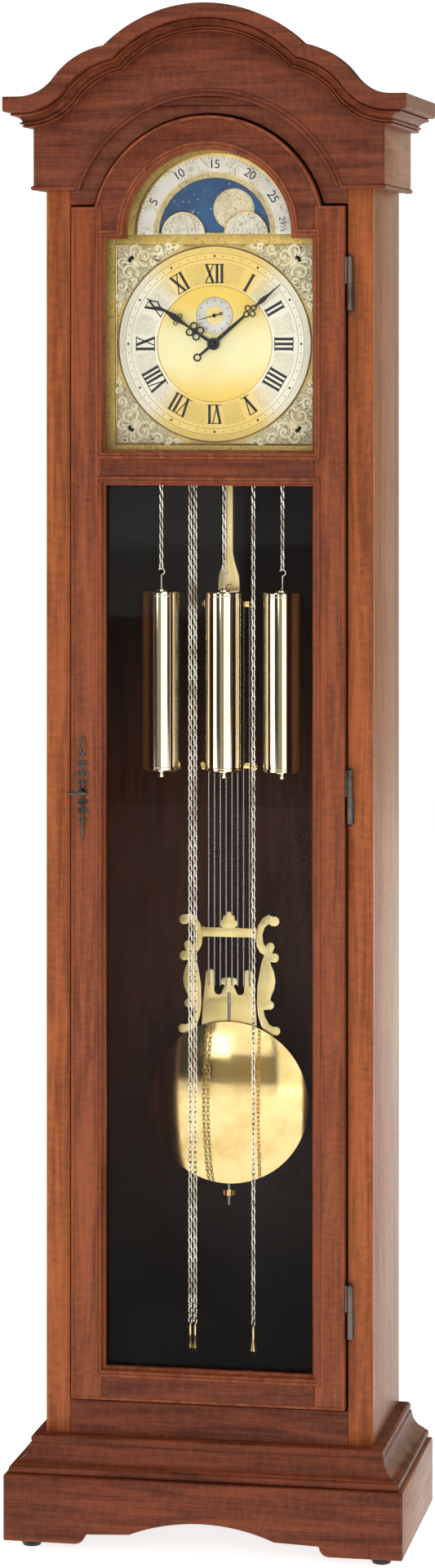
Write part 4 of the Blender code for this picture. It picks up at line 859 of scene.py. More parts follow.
lower_window = [(-SIGHT_HALF, SIGHT_BOTTOM), (-SIGHT_HALF, RAIL_LOW), (SIGHT_HALF, RAIL_LOW),
                (SIGHT_HALF, SIGHT_BOTTOM)]
for name, path in (("dial_window_moulding", upper_window), ("pendulum_window_moulding", lower_window)):
    section = [(-out, DOOR_FRONT + depth) for out, depth in WINDOW_SECTION]
    moulding(name, path, section, wood_door, "door", True, (), 50)


# ---- Dial ----
def ring_profile(inner, outer, front, back, edge=0.0003):
    """A flat ring's section for turning about the dial's own axis."""
    return [(inner, back), (inner, front + edge), (inner + edge, front), (outer - edge, front),
            (outer, front + edge), (outer, back)]


def dial_ring(name, centre, inner, outer, rise, material, edge=0.0003, steps=96, deep=0.0002):
    """A ring on the dial's face, standing proud of it by rise."""
    turned_piece(name, ring_profile(inner, outer, -rise, deep, edge), (centre[0], DIAL_FRONT, centre[2]), "Y",
                 steps, material)


def dial_disc(name, centre, radius, rise, material, steps=64, body="case"):
    profile = [(0, 0.0001), (radius, 0.0001), (radius, -rise + 0.0002), (radius - 0.0002, -rise), (0, -rise)]
    turned_piece(name, profile, centre, "Y", steps, material, body)


def radial_sheet(sheet, place, centre):
    """Distance from a centre on the dial, and the cosine and sine of the way to it."""
    x, _, z = sheet.split(sheet.stretch(place, (1, 1, 1), (0, 0, 0), tuple(-c for c in centre)))
    radius = sheet.math("SQRT", sheet.plus(sheet.times(x, x), sheet.times(z, z)))
    return x, z, radius, sheet.math("ARCTAN2", x, z)


def chapter_material():
    """Gilt above and below and cream at the sides as painted reflection, with foliage cut between the numerals.
    """
    made, sheet, shader, place = new_material("chapter_gilt")
    x, z, radius, angle = radial_sheet(sheet, place, CENTRE)
    # Painted reflection: the ring turns from gilt at twelve and six to cream at three and nine.
    side = sheet.ramp(sheet.math("ABSOLUTE", sheet.math("DIVIDE", x, radius)), 0.42, 0.86)
    cloud = sheet.noise(place, 35.0, 3.0)
    side = sheet.ramp(sheet.plus(side, sheet.times(sheet.minus(cloud, 0.5), 0.5)), 0, 1)
    ground = sheet.blend(side, (0.95, 0.70, 0.20, 1), (0.98, 0.95, 0.76, 1))
    between = sheet.ramp(sheet.math("COSINE", sheet.times(angle, 12.0)), -0.15, 0.25, 1.0, 0.0)
    field = sheet.times(between, sheet.ramp(radius, 0.0835, 0.0850))
    field = sheet.times(field, sheet.ramp(radius, 0.1120, 0.1135, 1.0, 0.0))
    rim = sheet.band(radius, 0.1255, 0.1262, 0.1318, 0.1326)
    lines = sheet.group(SCROLLWORK, Place=place, Size=120.0, Curl=2.2)
    cover = sheet.times(lines["Line"], sheet.math("MAXIMUM", field, sheet.times(rim, 0.7)))
    sheet.put(sheet.blend(sheet.times(cover, 0.55), ground, (0.34, 0.21, 0.05, 1)),
              shader.inputs["Base Color"])
    sheet.put(sheet.ramp(cloud, 0.35, 0.65, 0.28, 0.38, False), shader.inputs["Roughness"])
    shader.inputs["Metallic"].default_value = 0.3
    add_bump(sheet, shader, sheet.minus(1.0, cover), 0.35, 0.0004)
    return made


chapter_gilt = chapter_material()
centre_gilt = brushed_with_painted_sheen("centre_gilt", (1.0, 0.93, 0.52), (0.96, 0.68, 0.13), CENTRE, 0.34)
plate_gilt = engraved("dial_plate_gilt", (0.90, 0.68, 0.24), (0.30, 0.20, 0.06), 95.0, 2.6, 0.45, 0.36,
                      0.3, 0.4)
rim_gilt = metal("rim_gilt", (0.80, 0.58, 0.20), (0.56, 0.38, 0.12), (0.16, 0.28), 0.05)
olive_line = metal("shaded_edge", (0.30, 0.22, 0.10), (0.18, 0.13, 0.06), (0.3, 0.45), 0.05)
cast_gilt = metal("cast_gilt", (1.0, 0.95, 0.70), (0.88, 0.76, 0.42), (0.32, 0.45), 0.12, 0.2)
title_gilt = engraved("title_gilt", (0.84, 0.60, 0.16), (0.50, 0.33, 0.08), 60.0, 1.2, 0.35, 0.42, 0.15, 0.1)
recess_gilt = engraved("recess_gilt", (0.93, 0.84, 0.52), (0.060, 0.036, 0.012), 52.0, 3.0, 0.05, 0.5,
                       0.6, 0.05)
silvered = metal("silvered_ring", (0.80, 0.79, 0.74), (0.66, 0.64, 0.58), (0.3, 0.42), 0.06, 0.6)
lunar_silver = engraved("lunar_ring", (1.0, 0.97, 0.86), (0.62, 0.50, 0.26), 34.0, 2.4, 0.0, 0.38, 0.2, 0.95)
lunar_band = engraved("lunar_band", (0.78, 0.66, 0.36), (0.14, 0.10, 0.04), 170.0, 2.4, 0.6, 0.35, 0.4, 0.8)
hemisphere = engraved("hemisphere", (0.95, 0.91, 0.74), (0.20, 0.16, 0.09), 85.0, 2.2, 0.15, 0.38, 0.3, 0.55)
moon_cream = engraved("moon_cream", (0.88, 0.80, 0.56), (0.52, 0.38, 0.16), 60.0, 1.6, 0.25, 0.4, 0.25, 0.25)
sky_blue = night_sky("night_sky")
ink = plastic("numeral_black", (0.012, 0.011, 0.010), 0.4)

dial_ring("chapter_ring", CENTRE, 0.0800, 0.1340, 0.0010, chapter_gilt)
dial_ring("chapter_edge", CENTRE, 0.1334, 0.1358, 0.0015, olive_line, 0.0006)
dial_ring("chapter_inner_line", CENTRE, 0.0796, 0.0808, 0.0013, rim_gilt, 0.0003)
dial_disc("centre_field", (CENTRE.x, DIAL_FRONT, CENTRE.z), 0.0797, 0.0006, centre_gilt)
for number, radius in enumerate((0.1165, 0.1250)):
    dial_ring(f"minute_track_line_{number}", CENTRE, radius, radius + 0.0005, 0.00108, olive_line, 0.00002)


def turned_on_dial(angle, centre):
    """Turns a shape drawn upright at the origin to an angle clockwise from twelve about a centre."""
    return Matrix.Translation(centre) @ Matrix.Rotation(math.radians(angle), 4, "Y")


def make_minute_dots():
    form = bmesh.new()
    for minute in range(60):
        size = 0.0017 if minute % 5 == 0 else 0.0008
        matrix = turned_on_dial(minute * 6, (CENTRE.x, DIAL_FRONT - 0.0011, CENTRE.z))
        matrix = matrix @ Matrix.Translation((0, 0, 0.1209)) @ UPRIGHT
        bmesh.ops.create_cone(form, cap_ends=True, segments=8, radius1=size, radius2=size, depth=0.0003,
                              matrix=matrix)
    finish_piece("minute_dots", form, ink, "case", 30)


def make_numerals():
    """Roman numerals from stems and thin serifs, each set upright to its own radius."""
    form = bmesh.new()
    low, high, thin = 0.0840, 0.1095, 0.0006
    front = (DIAL_FRONT - 0.00125, DIAL_FRONT - 0.0008)
    words = ["XII", "I", "II", "III", "IIII", "V", "VI", "VII", "VIII", "IX", "X", "XI"]
    width = {"I": 0.0068, "V": 0.0140, "X": 0.0140}
    for hour, word in enumerate(words):
        spin = turned_on_dial(hour * 30, (CENTRE.x, 0, CENTRE.z))
        total = sum(width[letter] for letter in word)
        squeeze = min(1.0, 0.0315 / total)
        at = -total * squeeze / 2

        def bar(x_foot, x_head, half):
            lean = Matrix.Translation(((x_foot + x_head) / 2, 0, (low + high) / 2)) @ Matrix.Rotation(
                math.atan2(x_head - x_foot, high - low), 4, "Y")
            reach = math.hypot(high - low, x_head - x_foot) / 2
            add_box(form, (-half, front[0], -reach), (half, front[1], reach), spin @ lean)

        for letter in word:
            wide = width[letter] * squeeze
            left, middle, right = at + 0.0012, at + wide / 2, at + wide - 0.0012
            if letter == "I":
                bar(middle, middle, 0.0019)
            elif letter == "V":
                bar(middle + 0.0006, left + 0.0012, 0.0018)
                bar(middle - 0.0002, right, 0.0008)
            else:
                bar(right - 0.0008, left + 0.0010, 0.0018)
                bar(left + 0.0004, right - 0.0004, 0.0008)
            at += wide
        for height in (low, high):
            half = total * squeeze / 2 - 0.0004
            add_box(form, (-half, front[0], height - thin), (half, front[1], height + thin), spin)
    finish_piece("hour_numerals", form, ink, "case", 30)


make_minute_dots()
make_numerals()

seconds_at = (SECONDS.x, DIAL_FRONT, SECONDS.z)
dial_ring("seconds_ring", seconds_at, 0.0125, 0.0250, 0.0012, silvered, 0.0003, 64)
dial_ring("seconds_ring_edge", seconds_at, 0.0246, 0.0258, 0.0015, rim_gilt, 0.0004, 64)
form = bmesh.new()
for tick in range(60):
    spin = turned_on_dial(tick * 6, (SECONDS.x, 0, SECONDS.z))
    inner = 0.0188 if tick % 5 == 0 else 0.0212
    half = 0.00042 if tick % 5 == 0 else 0.00016
    add_box(form, (-half, DIAL_FRONT - 0.00135, inner), (half, DIAL_FRONT - 0.0010, 0.0234), spin)
finish_piece("seconds_ticks", form, ink, "case", 30)


# ---- Corner spandrels ----
def spiral(x, z, start_r, end_r, start, sweep, steps=22, thick=(1.0, 0.55)):
    """Points (x, z, thickness) of a curl from its outer end to its eye."""
    made = []
    for step in range(steps + 1):
        share = step / steps
        angle = math.radians(start + sweep * share)
        radius = start_r + (end_r - start_r) * share
        made.append((x + radius * math.cos(angle), z + radius * math.sin(angle),
                     thick[0] + (thick[1] - thick[0]) * share))
    return made


def corner_curls():
    """The curls of one corner, drawn beside its diagonal; each is mirrored in the diagonal too."""
    curls = [spiral(*row) for row in (
        (0.1205, 0.0985, 0.0125, 0.0030, 205, -420), (0.1310, 0.0800, 0.0078, 0.0020, 120, 400),
        (0.1335, 0.0645, 0.0052, 0.0014, 60, -380), (0.1350, 0.0530, 0.0034, 0.0010, 100, 340),
        (0.1290, 0.1130, 0.0088, 0.0022, 250, 330), (0.1130, 0.0860, 0.0048, 0.0014, 20, 320))]
    curls.append([(0.1352, 0.0440 + 0.0100 * at, 0.4 + 0.25 * at) for at in (0, 0.5, 1)])
    return curls


def leaf(x, z, angle, length, half):
    """A pointed leaf outline from its foot outwards; angle is from +X."""
    turn = Matrix.Rotation(math.radians(angle), 2)
    right = [(0, 0), (length * 0.25, -half), (length * 0.6, -half * 0.8), (length, 0)]
    outline = right + [(along, -across) for along, across in reversed(right[1:-1])]
    return [tuple(Vector((x, z)) + turn @ Vector(point)) for point in outline]


def make_spandrels():
    for up, level in ((1, "upper"), (-1, "lower")):
        for side, name in ((-1, "left"), (1, "right")):
            def placed(x, z):
                return CENTRE.x + side * x, CENTRE.z + up * z

            field = [(0.0455, 0.1358), (0.0740, 0.1150)] + arc(0, 0, 0.1368, 57, 33, 10)
            field += [(0.1150, 0.0740), (0.1358, 0.0455), (0.1358, 0.1358)]
            plate_piece(f"spandrel_ground_{level}_{name}", [[placed(*point) for point in field]],
                        DIAL_FRONT - 0.0006, DIAL_FRONT + 0.0001, recess_gilt, "case", 30)
            form = bmesh.new()
            for curl in corner_curls():
                for swap in (False, True):
                    points = [(z, x, t) if swap else (x, z, t) for x, z, t in curl]
                    path = [(*placed(x, z), thick) for x, z, thick in points]
                    add_tube(form, [(x, DIAL_FRONT - 0.0008, z, thick) for x, z, thick in path], 0.0023, 2)
            for angle, length in ((45, 0.020), (24, 0.017), (66, 0.017), (2, 0.014), (88, 0.014),
                                  (225, 0.012)):
                outline = [placed(*point) for point in leaf(0.1130, 0.1130, angle, length, 0.0030)]
                add_plate(form, [outline], DIAL_FRONT - 0.0022, DIAL_FRONT - 0.0004)
            for swap in (False, True):
                for x, z, r in ((0.1205, 0.0985, 0.0030), (0.1310, 0.0800, 0.0022), (0.1290, 0.1130, 0.0024)):
                    x, z = placed(z, x) if swap else placed(x, z)
                    add_ball(form, (x, DIAL_FRONT - 0.0012, z), r, (1, 0.6, 1))
            x, z = placed(0.1130, 0.1130)
            add_ball(form, (x, DIAL_FRONT - 0.0014, z), 0.0046, (1, 0.55, 1))
            finish_piece(f"spandrel_{level}_{name}", form, cast_gilt, "case", 40)


make_spandrels()
square = [(-0.1392, CENTRE.z - 0.1392), (-0.1392, CENTRE.z + 0.1364), (0.1392, CENTRE.z + 0.1364),
          (0.1392, CENTRE.z - 0.1392)]
moulding("dial_border", square,
         [(0, DIAL_FRONT - 0.0012), (0.0008, DIAL_FRONT - 0.0016), (0.0016, DIAL_FRONT - 0.0012),
          (0.0016, DIAL_FRONT + 0.0001), (0, DIAL_FRONT + 0.0001)], rim_gilt, "case", True)
moulding("dial_border_line", square, [(0.0020, DIAL_FRONT - 0.0007), (0.0026, DIAL_FRONT - 0.0007),
                                      (0.0026, DIAL_FRONT + 0.0001), (0.0020, DIAL_FRONT + 0.0001)],
         olive_line, "case", True)
frame_out, frame_foot = 0.1535, CENTRE.z - 0.1490
frame_loop = [(-frame_out, frame_foot), (-frame_out, ARCH_Z - 0.0010), (frame_out, ARCH_Z - 0.0010),
              (frame_out, frame_foot)]
frame_hole = [(-0.1396, CENTRE.z - 0.1396), (0.1396, CENTRE.z - 0.1396), (0.1396, ARCH_Z - 0.0020),
              (-0.1396, ARCH_Z - 0.0020)]
plate_piece("dial_frame", [frame_loop, frame_hole], DIAL_FRONT - 0.0010, DIAL_FRONT + 0.0008, title_gilt,
            edge=0.0003)
boxed_piece("title_strip", (-0.1385, DIAL_FRONT - 0.0014, ARCH_Z - 0.0138),
            (0.1385, DIAL_FRONT + 0.0001, ARCH_Z - 0.0008), 0.0005, title_gilt)

# ---- Moon work in the arch ----
MOON_R = 0.0435       # radius of the moons' path


def half_ring(name, inner, outer, rise, material):
    outline = arc(0, ARCH_Z, outer, 180, 0, 60) + arc(0, ARCH_Z, inner, 0, 180, 60)
    plate_piece(name, [outline], DIAL_FRONT - rise, DIAL_FRONT + 0.0001, material)


half_ring("lunar_scale", 0.0850, 0.1078, 0.0008, lunar_silver)
half_ring("lunar_inner_band", 0.0782, 0.0848, 0.0012, lunar_band)
half_ring("lunar_rim", 0.1078, 0.1122, 0.0018, rim_gilt)
half_ring("lunar_inner_line", 0.0846, 0.0856, 0.0014, rim_gilt)
half_ring("arch_field", 0.1122, 0.1220, 0.0006, title_gilt)


def make_lunar_numbers():
    form = bmesh.new()
    for text, angle in (("5", -62), ("10", -31), ("15", 0), ("20", 31), ("25", 58), ("29½", 82)):
        words = bpy.data.curves.new("figure", "FONT")
        words.body = text
        words.size = 0.0175
        words.space_character = 0.9
        words.align_x, words.align_y = "CENTER", "CENTER"
        words.extrude = 0.0002
        words.resolution_u = 3
        stand = turned_on_dial(angle, (0, DIAL_FRONT - 0.0009, ARCH_Z))
        stand = stand @ Matrix.Translation((0, 0, 0.0960)) @ UPRIGHT
        if text == "29½":
            stand = stand @ Matrix.Scale(0.72, 4)
        add_curve(form, words, stand)
    for day in range(60):
        angle = -88 + 176 * day / 59
        spin = turned_on_dial(angle, (0, 0, ARCH_Z))
        inner = 0.1040 if day % 2 == 0 else 0.1056
        add_box(form, (-0.00022, DIAL_FRONT - 0.0010, inner), (0.00022, DIAL_FRONT - 0.0007, 0.1074), spin)
    finish_piece("lunar_figures", form, ink, "case", 30)


make_lunar_numbers()
for side, name in ((-1, "left"), (1, "right")):
    plate_piece("hemisphere_" + name, [arc(side * 0.044, ARCH_Z + 0.0004, 0.0304, 180, 0, 32)],
                DIAL_FRONT - 0.0010, DIAL_FRONT + 0.0001, hemisphere)
    form = bmesh.new()
    rim_path = arc(side * 0.044, ARCH_Z + 0.0004, 0.0300, 180, 0, 32)
    add_tube(form, [(x, DIAL_FRONT - 0.0009, z) for x, z in rim_path], 0.0008, 2)
    for share in (-0.6, -0.2, 0.2, 0.6):
        line = [(side * 0.044 + 0.0296 * math.sin(math.radians(a)) * share, DIAL_FRONT - 0.0009,
                 ARCH_Z + 0.0008 + 0.0292 * math.cos(math.radians(a))) for a in range(8, 91, 10)]
        add_tube(form, line, 0.00025, 1)
    finish_piece("hemisphere_rim_" + name, form, rim_gilt, "case", 40)

moon_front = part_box("moon_disc")[0].y
frame["nodes"]["moon_disc"].data.materials[0] = sky_blue
moon_angle = math.degrees(math.atan2(0.026, 0.034))
for number, angle in enumerate((moon_angle, moon_angle + 180)):
    way = math.radians(angle)
    centre = (MOON_R * math.sin(way), moon_front, ARCH_Z + MOON_R * math.cos(way))
    dial_disc(f"moon_{number}", centre, 0.0287, 0.00010, moon_cream, 48, "moon_disc")
    form = bmesh.new()
    add_turned(form, ring_profile(0.0268, 0.0285, -0.00015, 0, 0.00002), centre, "Y", 48)
    spin = turned_on_dial(angle, (centre[0], moon_front - 0.00013, centre[2]))
    for x in (-0.0095, 0.0095):
        brow = [spin @ Vector((x + px, 0, pz)) for px, pz in arc(0, 0.0040, 0.0052, 150, 30, 6)]
        add_tube(form, [tuple(p) for p in brow], 0.00005, 1)
    finish_piece(f"moon_ring_{number}", form, lunar_band, "moon_disc", 40)

random.seed(7)
form = bmesh.new()
for star in range(26):
    radius, angle = 0.010 + 0.064 * random.random(), math.tau * random.random()
    x, z = radius * math.sin(angle), radius * math.cos(angle)
    near = [math.hypot(x - s * MOON_R * math.sin(math.radians(moon_angle)),
                       z - s * MOON_R * math.cos(math.radians(moon_angle))) for s in (-1, 1)]
    if min(near) < 0.0310:
        continue
    size = 0.0010 + 0.0008 * random.random()
    points = []
    for corner in range(10):
        reach = size * (1.0 if corner % 2 == 0 else 0.42)
        way = math.pi * corner / 5
        points.append((x + reach * math.sin(way), ARCH_Z + z + reach * math.cos(way)))
    add_plate(form, [points], moon_front - 0.00010, moon_front + 0.00002)
finish_piece("stars", form, lunar_silver, "moon_disc", 30)


# ---- Hands ----
def hand_form(front, angle, centre_z, bars, rings, diamond=None, thick=0.0010):
    """A flat pierced hand: bars are outlines of (half width, distance); rings are (x, z, outer, inner)."""
    form = bmesh.new()
    for body in bars:
        outline = [(-half, far) for half, far in body] + [(half, far) for half, far in reversed(body)]
        add_plate(form, [outline], front, front + thick)
    for x, z, outer, inner in rings:
        loops = [circle(x, z, outer, 20)] + ([circle(x, z, inner, 16)] if inner else [])
        add_plate(form, loops, front + 0.00002, front + thick - 0.00002)
    if diamond:
        low, high, half = diamond
        outer = [(0, low), (half, (low + high) / 2 - 0.002), (0, high), (-half, (low + high) / 2 - 0.002)]
        middle = (low + high) / 2 - 0.001
        inner = [(x * 0.62, middle + (z - middle) * 0.62) for x, z in outer]
        add_plate(form, [outer, inner], front, front + thick)
    bmesh.ops.transform(form, matrix=turned_on_dial(angle, (0, 0, centre_z)), verts=form.verts)
    return form


hour_back, minute_back, seconds_back = [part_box(hand + "_hand")[1].y for hand in ("hour", "minute", "seconds")]
hour_front, minute_front, seconds_front = DIAL_FRONT - 0.0095, DIAL_FRONT - 0.0145, DIAL_FRONT - 0.0045
HOUR_ANGLE, MINUTE_ANGLE, SECONDS_ANGLE = -56, 49, 255   # degrees clockwise from twelve

form = hand_form(hour_front, HOUR_ANGLE, CENTRE.z,
                 [[(0.0026, 0.0065), (0.0020, 0.0225)], [(0.0018, 0.040), (0.0016, 0.047), (0.0036, 0.058),
                  (0.0046, 0.066), (0.0026, 0.076), (0.0012, 0.086), (0.0010, 0.090)],
                  [(0.0009, 0.1090), (0.0004, 0.1130)]],
                 [(0, 0, 0.0086, 0.0034), (-0.0052, 0.0255, 0.0056, 0.0034), (0.0052, 0.0255, 0.0056, 0.0034),
                  (-0.0052, 0.0365, 0.0056, 0.0034), (0.0052, 0.0365, 0.0056, 0.0034), (0, 0.0310, 0.0030, 0),
                  (0.0060, 0.0600, 0.0032, 0.0019), (-0.0060, 0.0600, 0.0032, 0.0019)],
                 (0.088, 0.110, 0.0052))
add_rod(form, (0, hour_front + 0.0005, CENTRE.z), (0, hour_back, CENTRE.z), 0.0036, 16)
finish_piece("hour_hand_cut", form, blackened, "hour_hand", 35, ("hour_hand",))

form = hand_form(minute_front, MINUTE_ANGLE, CENTRE.z,
                 [[(0.0030, 0.0060), (0.0018, 0.0580)], [(0.0012, 0.0770), (0.0016, 0.0820), (0.0034, 0.0900),
                  (0.0030, 0.0950), (0.0014, 0.1040), (0.0005, 0.1250)],
                  [(0.0022, -0.0060), (0.0016, -0.0245)]],
                 [(0, 0, 0.0080, 0), (0, 0.0620, 0.0046, 0.0026), (-0.0050, 0.0690, 0.0046, 0.0027),
                  (0.0050, 0.0690, 0.0046, 0.0027), (0, 0.0760, 0.0042, 0.0024),
                  (0, -0.0285, 0.0058, 0.0034)])
add_rod(form, (0, minute_front - 0.0030, CENTRE.z), (0, minute_back, CENTRE.z), 0.0020, 12)
add_turned(form, [(0, -0.0028), (0.0030, -0.0026), (0.0044, -0.0014), (0.0048, 0), (0, 0)],
           (0, minute_front, CENTRE.z), "Y", 24)
finish_piece("minute_hand_cut", form, blackened, "minute_hand", 35, ("minute_hand",))

form = hand_form(seconds_front, SECONDS_ANGLE, SECONDS.z,
                 [[(0.0007, 0.002), (0.0003, 0.0225)], [(0.0008, -0.0015), (0.0007, -0.0080)]],
                 [(0, 0, 0.0027, 0), (0, -0.0098, 0.0024, 0.0011)], None, 0.0007)
add_rod(form, (0, seconds_front - 0.0008, SECONDS.z), (0, seconds_back, SECONDS.z), 0.0012, 10)
finish_piece("seconds_hand_cut", form, blackened, "seconds_hand", 35, ("seconds_hand",))


# ---- Weights and chains ----
CHAIN_Y = (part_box("weight_left")[0].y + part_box("weight_left")[1].y) / 2
WHEEL_Z = joints["wheel_turn_left"]["pos_m"][2]
LINK_PITCH, LINK_WIRE, LINK_HALF = 0.0070, 0.00095, 0.0034


def chain_link():
    """One flattened ring of wire, drawn upright at the origin."""
    form = bmesh.new()
    reach = LINK_PITCH / 2 + LINK_WIRE
    side = LINK_HALF - LINK_WIRE
    path = [(side * math.cos(a), 0, (reach - side) * (1 if math.sin(a) > 0 else -1) + side * math.sin(a))
            for a in [math.radians(18 + 36 * step) for step in range(10)]]
    add_tube(form, path, LINK_WIRE, 0, True)
    mesh = bpy.data.meshes.new("link")
    form.to_mesh(mesh)
    form.free()
    return mesh


LINK = chain_link()


def add_link(form, x, z, number, lean=Matrix()):
    """One link in the chains' plane, a quarter turn from the link before it."""
    known = len(form.verts)
    form.from_mesh(LINK)
    form.verts.ensure_lookup_table()
    turn = Matrix.Rotation(math.radians(45 + 90 * (number % 2)), 4, "Z")
    matrix = Matrix.Translation((x, CHAIN_Y, z)) @ lean @ turn
    bmesh.ops.transform(form, matrix=matrix, verts=form.verts[known:])


def chain_piece(name, start, end):
    """A straight run of links hanging between two heights."""
    form = bmesh.new()
    x, high, low = start[0], start[2], end[2]
    count = max(2, round((high - low) / LINK_PITCH))
    for number in range(count):
        add_link(form, x, high - (high - low) * (number + 0.5) / count, number)
    return finish_piece(name, form, chain_metal, None, 60)


def make_weight(name):
    low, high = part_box("weight_" + name)
    x = (low.x + high.x) / 2
    hook, radius = high.z, (high.x - low.x) / 2
    top, foot = high.z - 0.032, low.z + 0.012
    head = ((0, 0.0050), (0.0030, 0.0048), (0.0042, 0.0030), (0.0080, 0.0018), (0.0082, 0), (0.0235, 0),
            (0.0258, -0.0004), (radius, -0.0020), (radius, -0.0052), (radius - 0.0008, -0.0058),
            (radius, -0.0064))
    tail = ((radius, 0.0064), (radius - 0.0008, 0.0058), (radius, 0.0052), (radius, 0.0020), (0.0258, 0.0004),
            (0.0235, 0), (0.0085, 0), (0.0080, -0.0018), (0.0040, -0.0032), (0.0036, -0.0045),
            (0.0056, -0.0068), (0.0050, -0.0092), (0.0024, -0.0112), (0, -0.0118))
    profile = [(out, top + up) for out, up in head] + [(out, foot + up) for out, up in tail]
    turned_piece("weight_shell_" + name, profile, (x, CHAIN_Y, 0), "Z", 64, weight_brass, "weight_" + name,
                 35, ("weight_" + name,))
    form = bmesh.new()
    centre = hook - 0.0056
    bend = [(x, CHAIN_Y, top + 0.003), (x, CHAIN_Y, centre - 0.0048)]
    bend += [(px, CHAIN_Y, pz) for px, pz in arc(x, centre, 0.0044, -90, 150, 16)]
    add_tube(form, bend, 0.0012, 3)
    finish_piece("weight_hook_" + name, form, chain_metal, "weight_" + name, 50)


DROP_BELL = {"left": 0.0031, "middle": 0.0031, "right": 0.0056}

for name in ("left", "middle", "right"):
    make_weight(name)
    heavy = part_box("weight_" + name)
    heavy_x, hook_z = (heavy[0].x + heavy[1].x) / 2, heavy[1].z
    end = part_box("chain_end_" + name)
    free_x, end_z = (end[0].x + end[1].x) / 2, end[1].z
    top, foot = (heavy_x, CHAIN_Y, WHEEL_Z), (heavy_x, CHAIN_Y, hook_z - 0.0012)
    run = chain_piece(f"chain_{name}_loaded", top, foot)
    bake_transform(run)
    top, foot = (free_x, CHAIN_Y, WHEEL_Z), (free_x, CHAIN_Y, end_z + 0.0005)
    run = chain_piece(f"chain_{name}_free", top, foot)
    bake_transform(run)
    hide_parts("chain_" + name)
    wheel_x = joints["wheel_turn_" + name]["pos_m"][0]
    form = bmesh.new()
    wrap = arc(wheel_x, WHEEL_Z, abs(heavy_x - free_x) / 2, 180, 0, 14)
    for number, (x, z) in enumerate(wrap):
        add_link(form, x, z, number, Matrix.Rotation(math.radians(-90 + 180 * number / 14), 4, "Y"))
    finish_piece(f"chain_{name}_over_wheel", form, chain_metal, "case", 60)
    form = bmesh.new()
    low_z = end[0].z
    bell = DROP_BELL[name]
    add_turned(form, [(0, end_z), (0.0014, end_z - 0.0004), (0.0020, end_z - 0.0050),
                      (0.0023, end_z - 0.0180),
                      (bell * 0.65, end_z - 0.0260), (bell * 0.95, low_z + 0.0090), (bell, low_z + 0.0060),
                      (bell * 0.75, low_z + 0.0016), (0.0016, low_z + 0.0002), (0, low_z)],
               (free_x, CHAIN_Y, 0), "Z", 20)
    for number in range(6):
        angle = math.tau * number / 6
        rib = [(free_x + r * math.cos(angle), CHAIN_Y + r * math.sin(angle), z)
               for r, z in ((0.0022, end_z - 0.018), (bell * 0.64, end_z - 0.026),
                            (bell * 0.93, low_z + 0.009), (bell * 0.98, low_z + 0.006),
                            (bell * 0.72, low_z + 0.0018))]
        add_tube(form, rib, bell * 0.08, 1)
    finish_piece("chain_drop_" + name, form, brass, "chain_end_" + name, 40, ("chain_end_" + name,))

# ---- Pendulum ----
SWING_Y = PIVOT.y
rod_low, rod_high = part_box("pendulum_rod")
bob_low, bob_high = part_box("pendulum_bob")
nut_low, nut_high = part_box("rating_nut")
BOB_Z, BOB_R = (bob_low.z + bob_high.z) / 2, (bob_high.z - bob_low.z) / 2
BAR_TOP, BAR_MIDDLE, BAR_LYRE = 1.280, 1.054, 0.820


def make_leader():
    form = bmesh.new()
    foot, shoulder = 1.300, 1.352
    outline = [(-0.0055, rod_high.z), (0.0055, rod_high.z), (0.0055, shoulder), (0.0085, shoulder - 0.014),
               (0.0145, shoulder - 0.034), (0.0155, foot - 0.014), (-0.0155, foot - 0.014),
               (-0.0145, shoulder - 0.034), (-0.0085, shoulder - 0.014), (-0.0055, shoulder)]
    add_plate(form, [outline], SWING_Y - 0.0015, SWING_Y + 0.0015, 0.0003)
    add_turned(form, [(0, -0.0012), (0.0030, -0.0010), (0.0042, 0), (0.0042, 0.0020), (0, 0.0020)],
               (0, SWING_Y - 0.0020, foot + 0.004), "Y", 20)
    finish_piece("pendulum_leader", form, lyre_brass, "pendulum", 40)


def make_grid():
    """Eight steel rods, held by bars with turned studs at their ends."""
    for odd, title in ((0, "outer"), (1, "inner")):
        form = bmesh.new()
        for number in range(odd, 8, 2):
            x = 0.0083 * (number - 3.5)
            add_rod(form, (x, SWING_Y, 0.745), (x, SWING_Y, BAR_TOP), 0.00135, 12)
        finish_piece(f"grid_rods_{title}", form, steel, "pendulum", 40)
    for name, height, reach, stud in (("top", BAR_TOP, 0.0335, 0.0050),
                                      ("middle", BAR_MIDDLE, 0.0360, 0.0065)):
        form = bmesh.new()
        add_box(form, (-reach, SWING_Y - 0.0030, height - 0.0040), (reach, SWING_Y + 0.0030, height + 0.0040))
        round_edges(form, form.edges, 0.0006)
        for side in (-1, 1):
            add_turned(form, [(0, -0.0036), (stud * 0.30, -0.0034), (stud * 0.42, -0.0022),
                              (stud * 0.62, -0.0030), (stud * 0.95, -0.0020), (stud, 0), (stud, 0.0050),
                              (0, 0.0050)],
                       (side * reach, SWING_Y - 0.0026, height), "Y", 28)
        finish_piece("grid_bar_" + name, form, brass, "pendulum", 40)


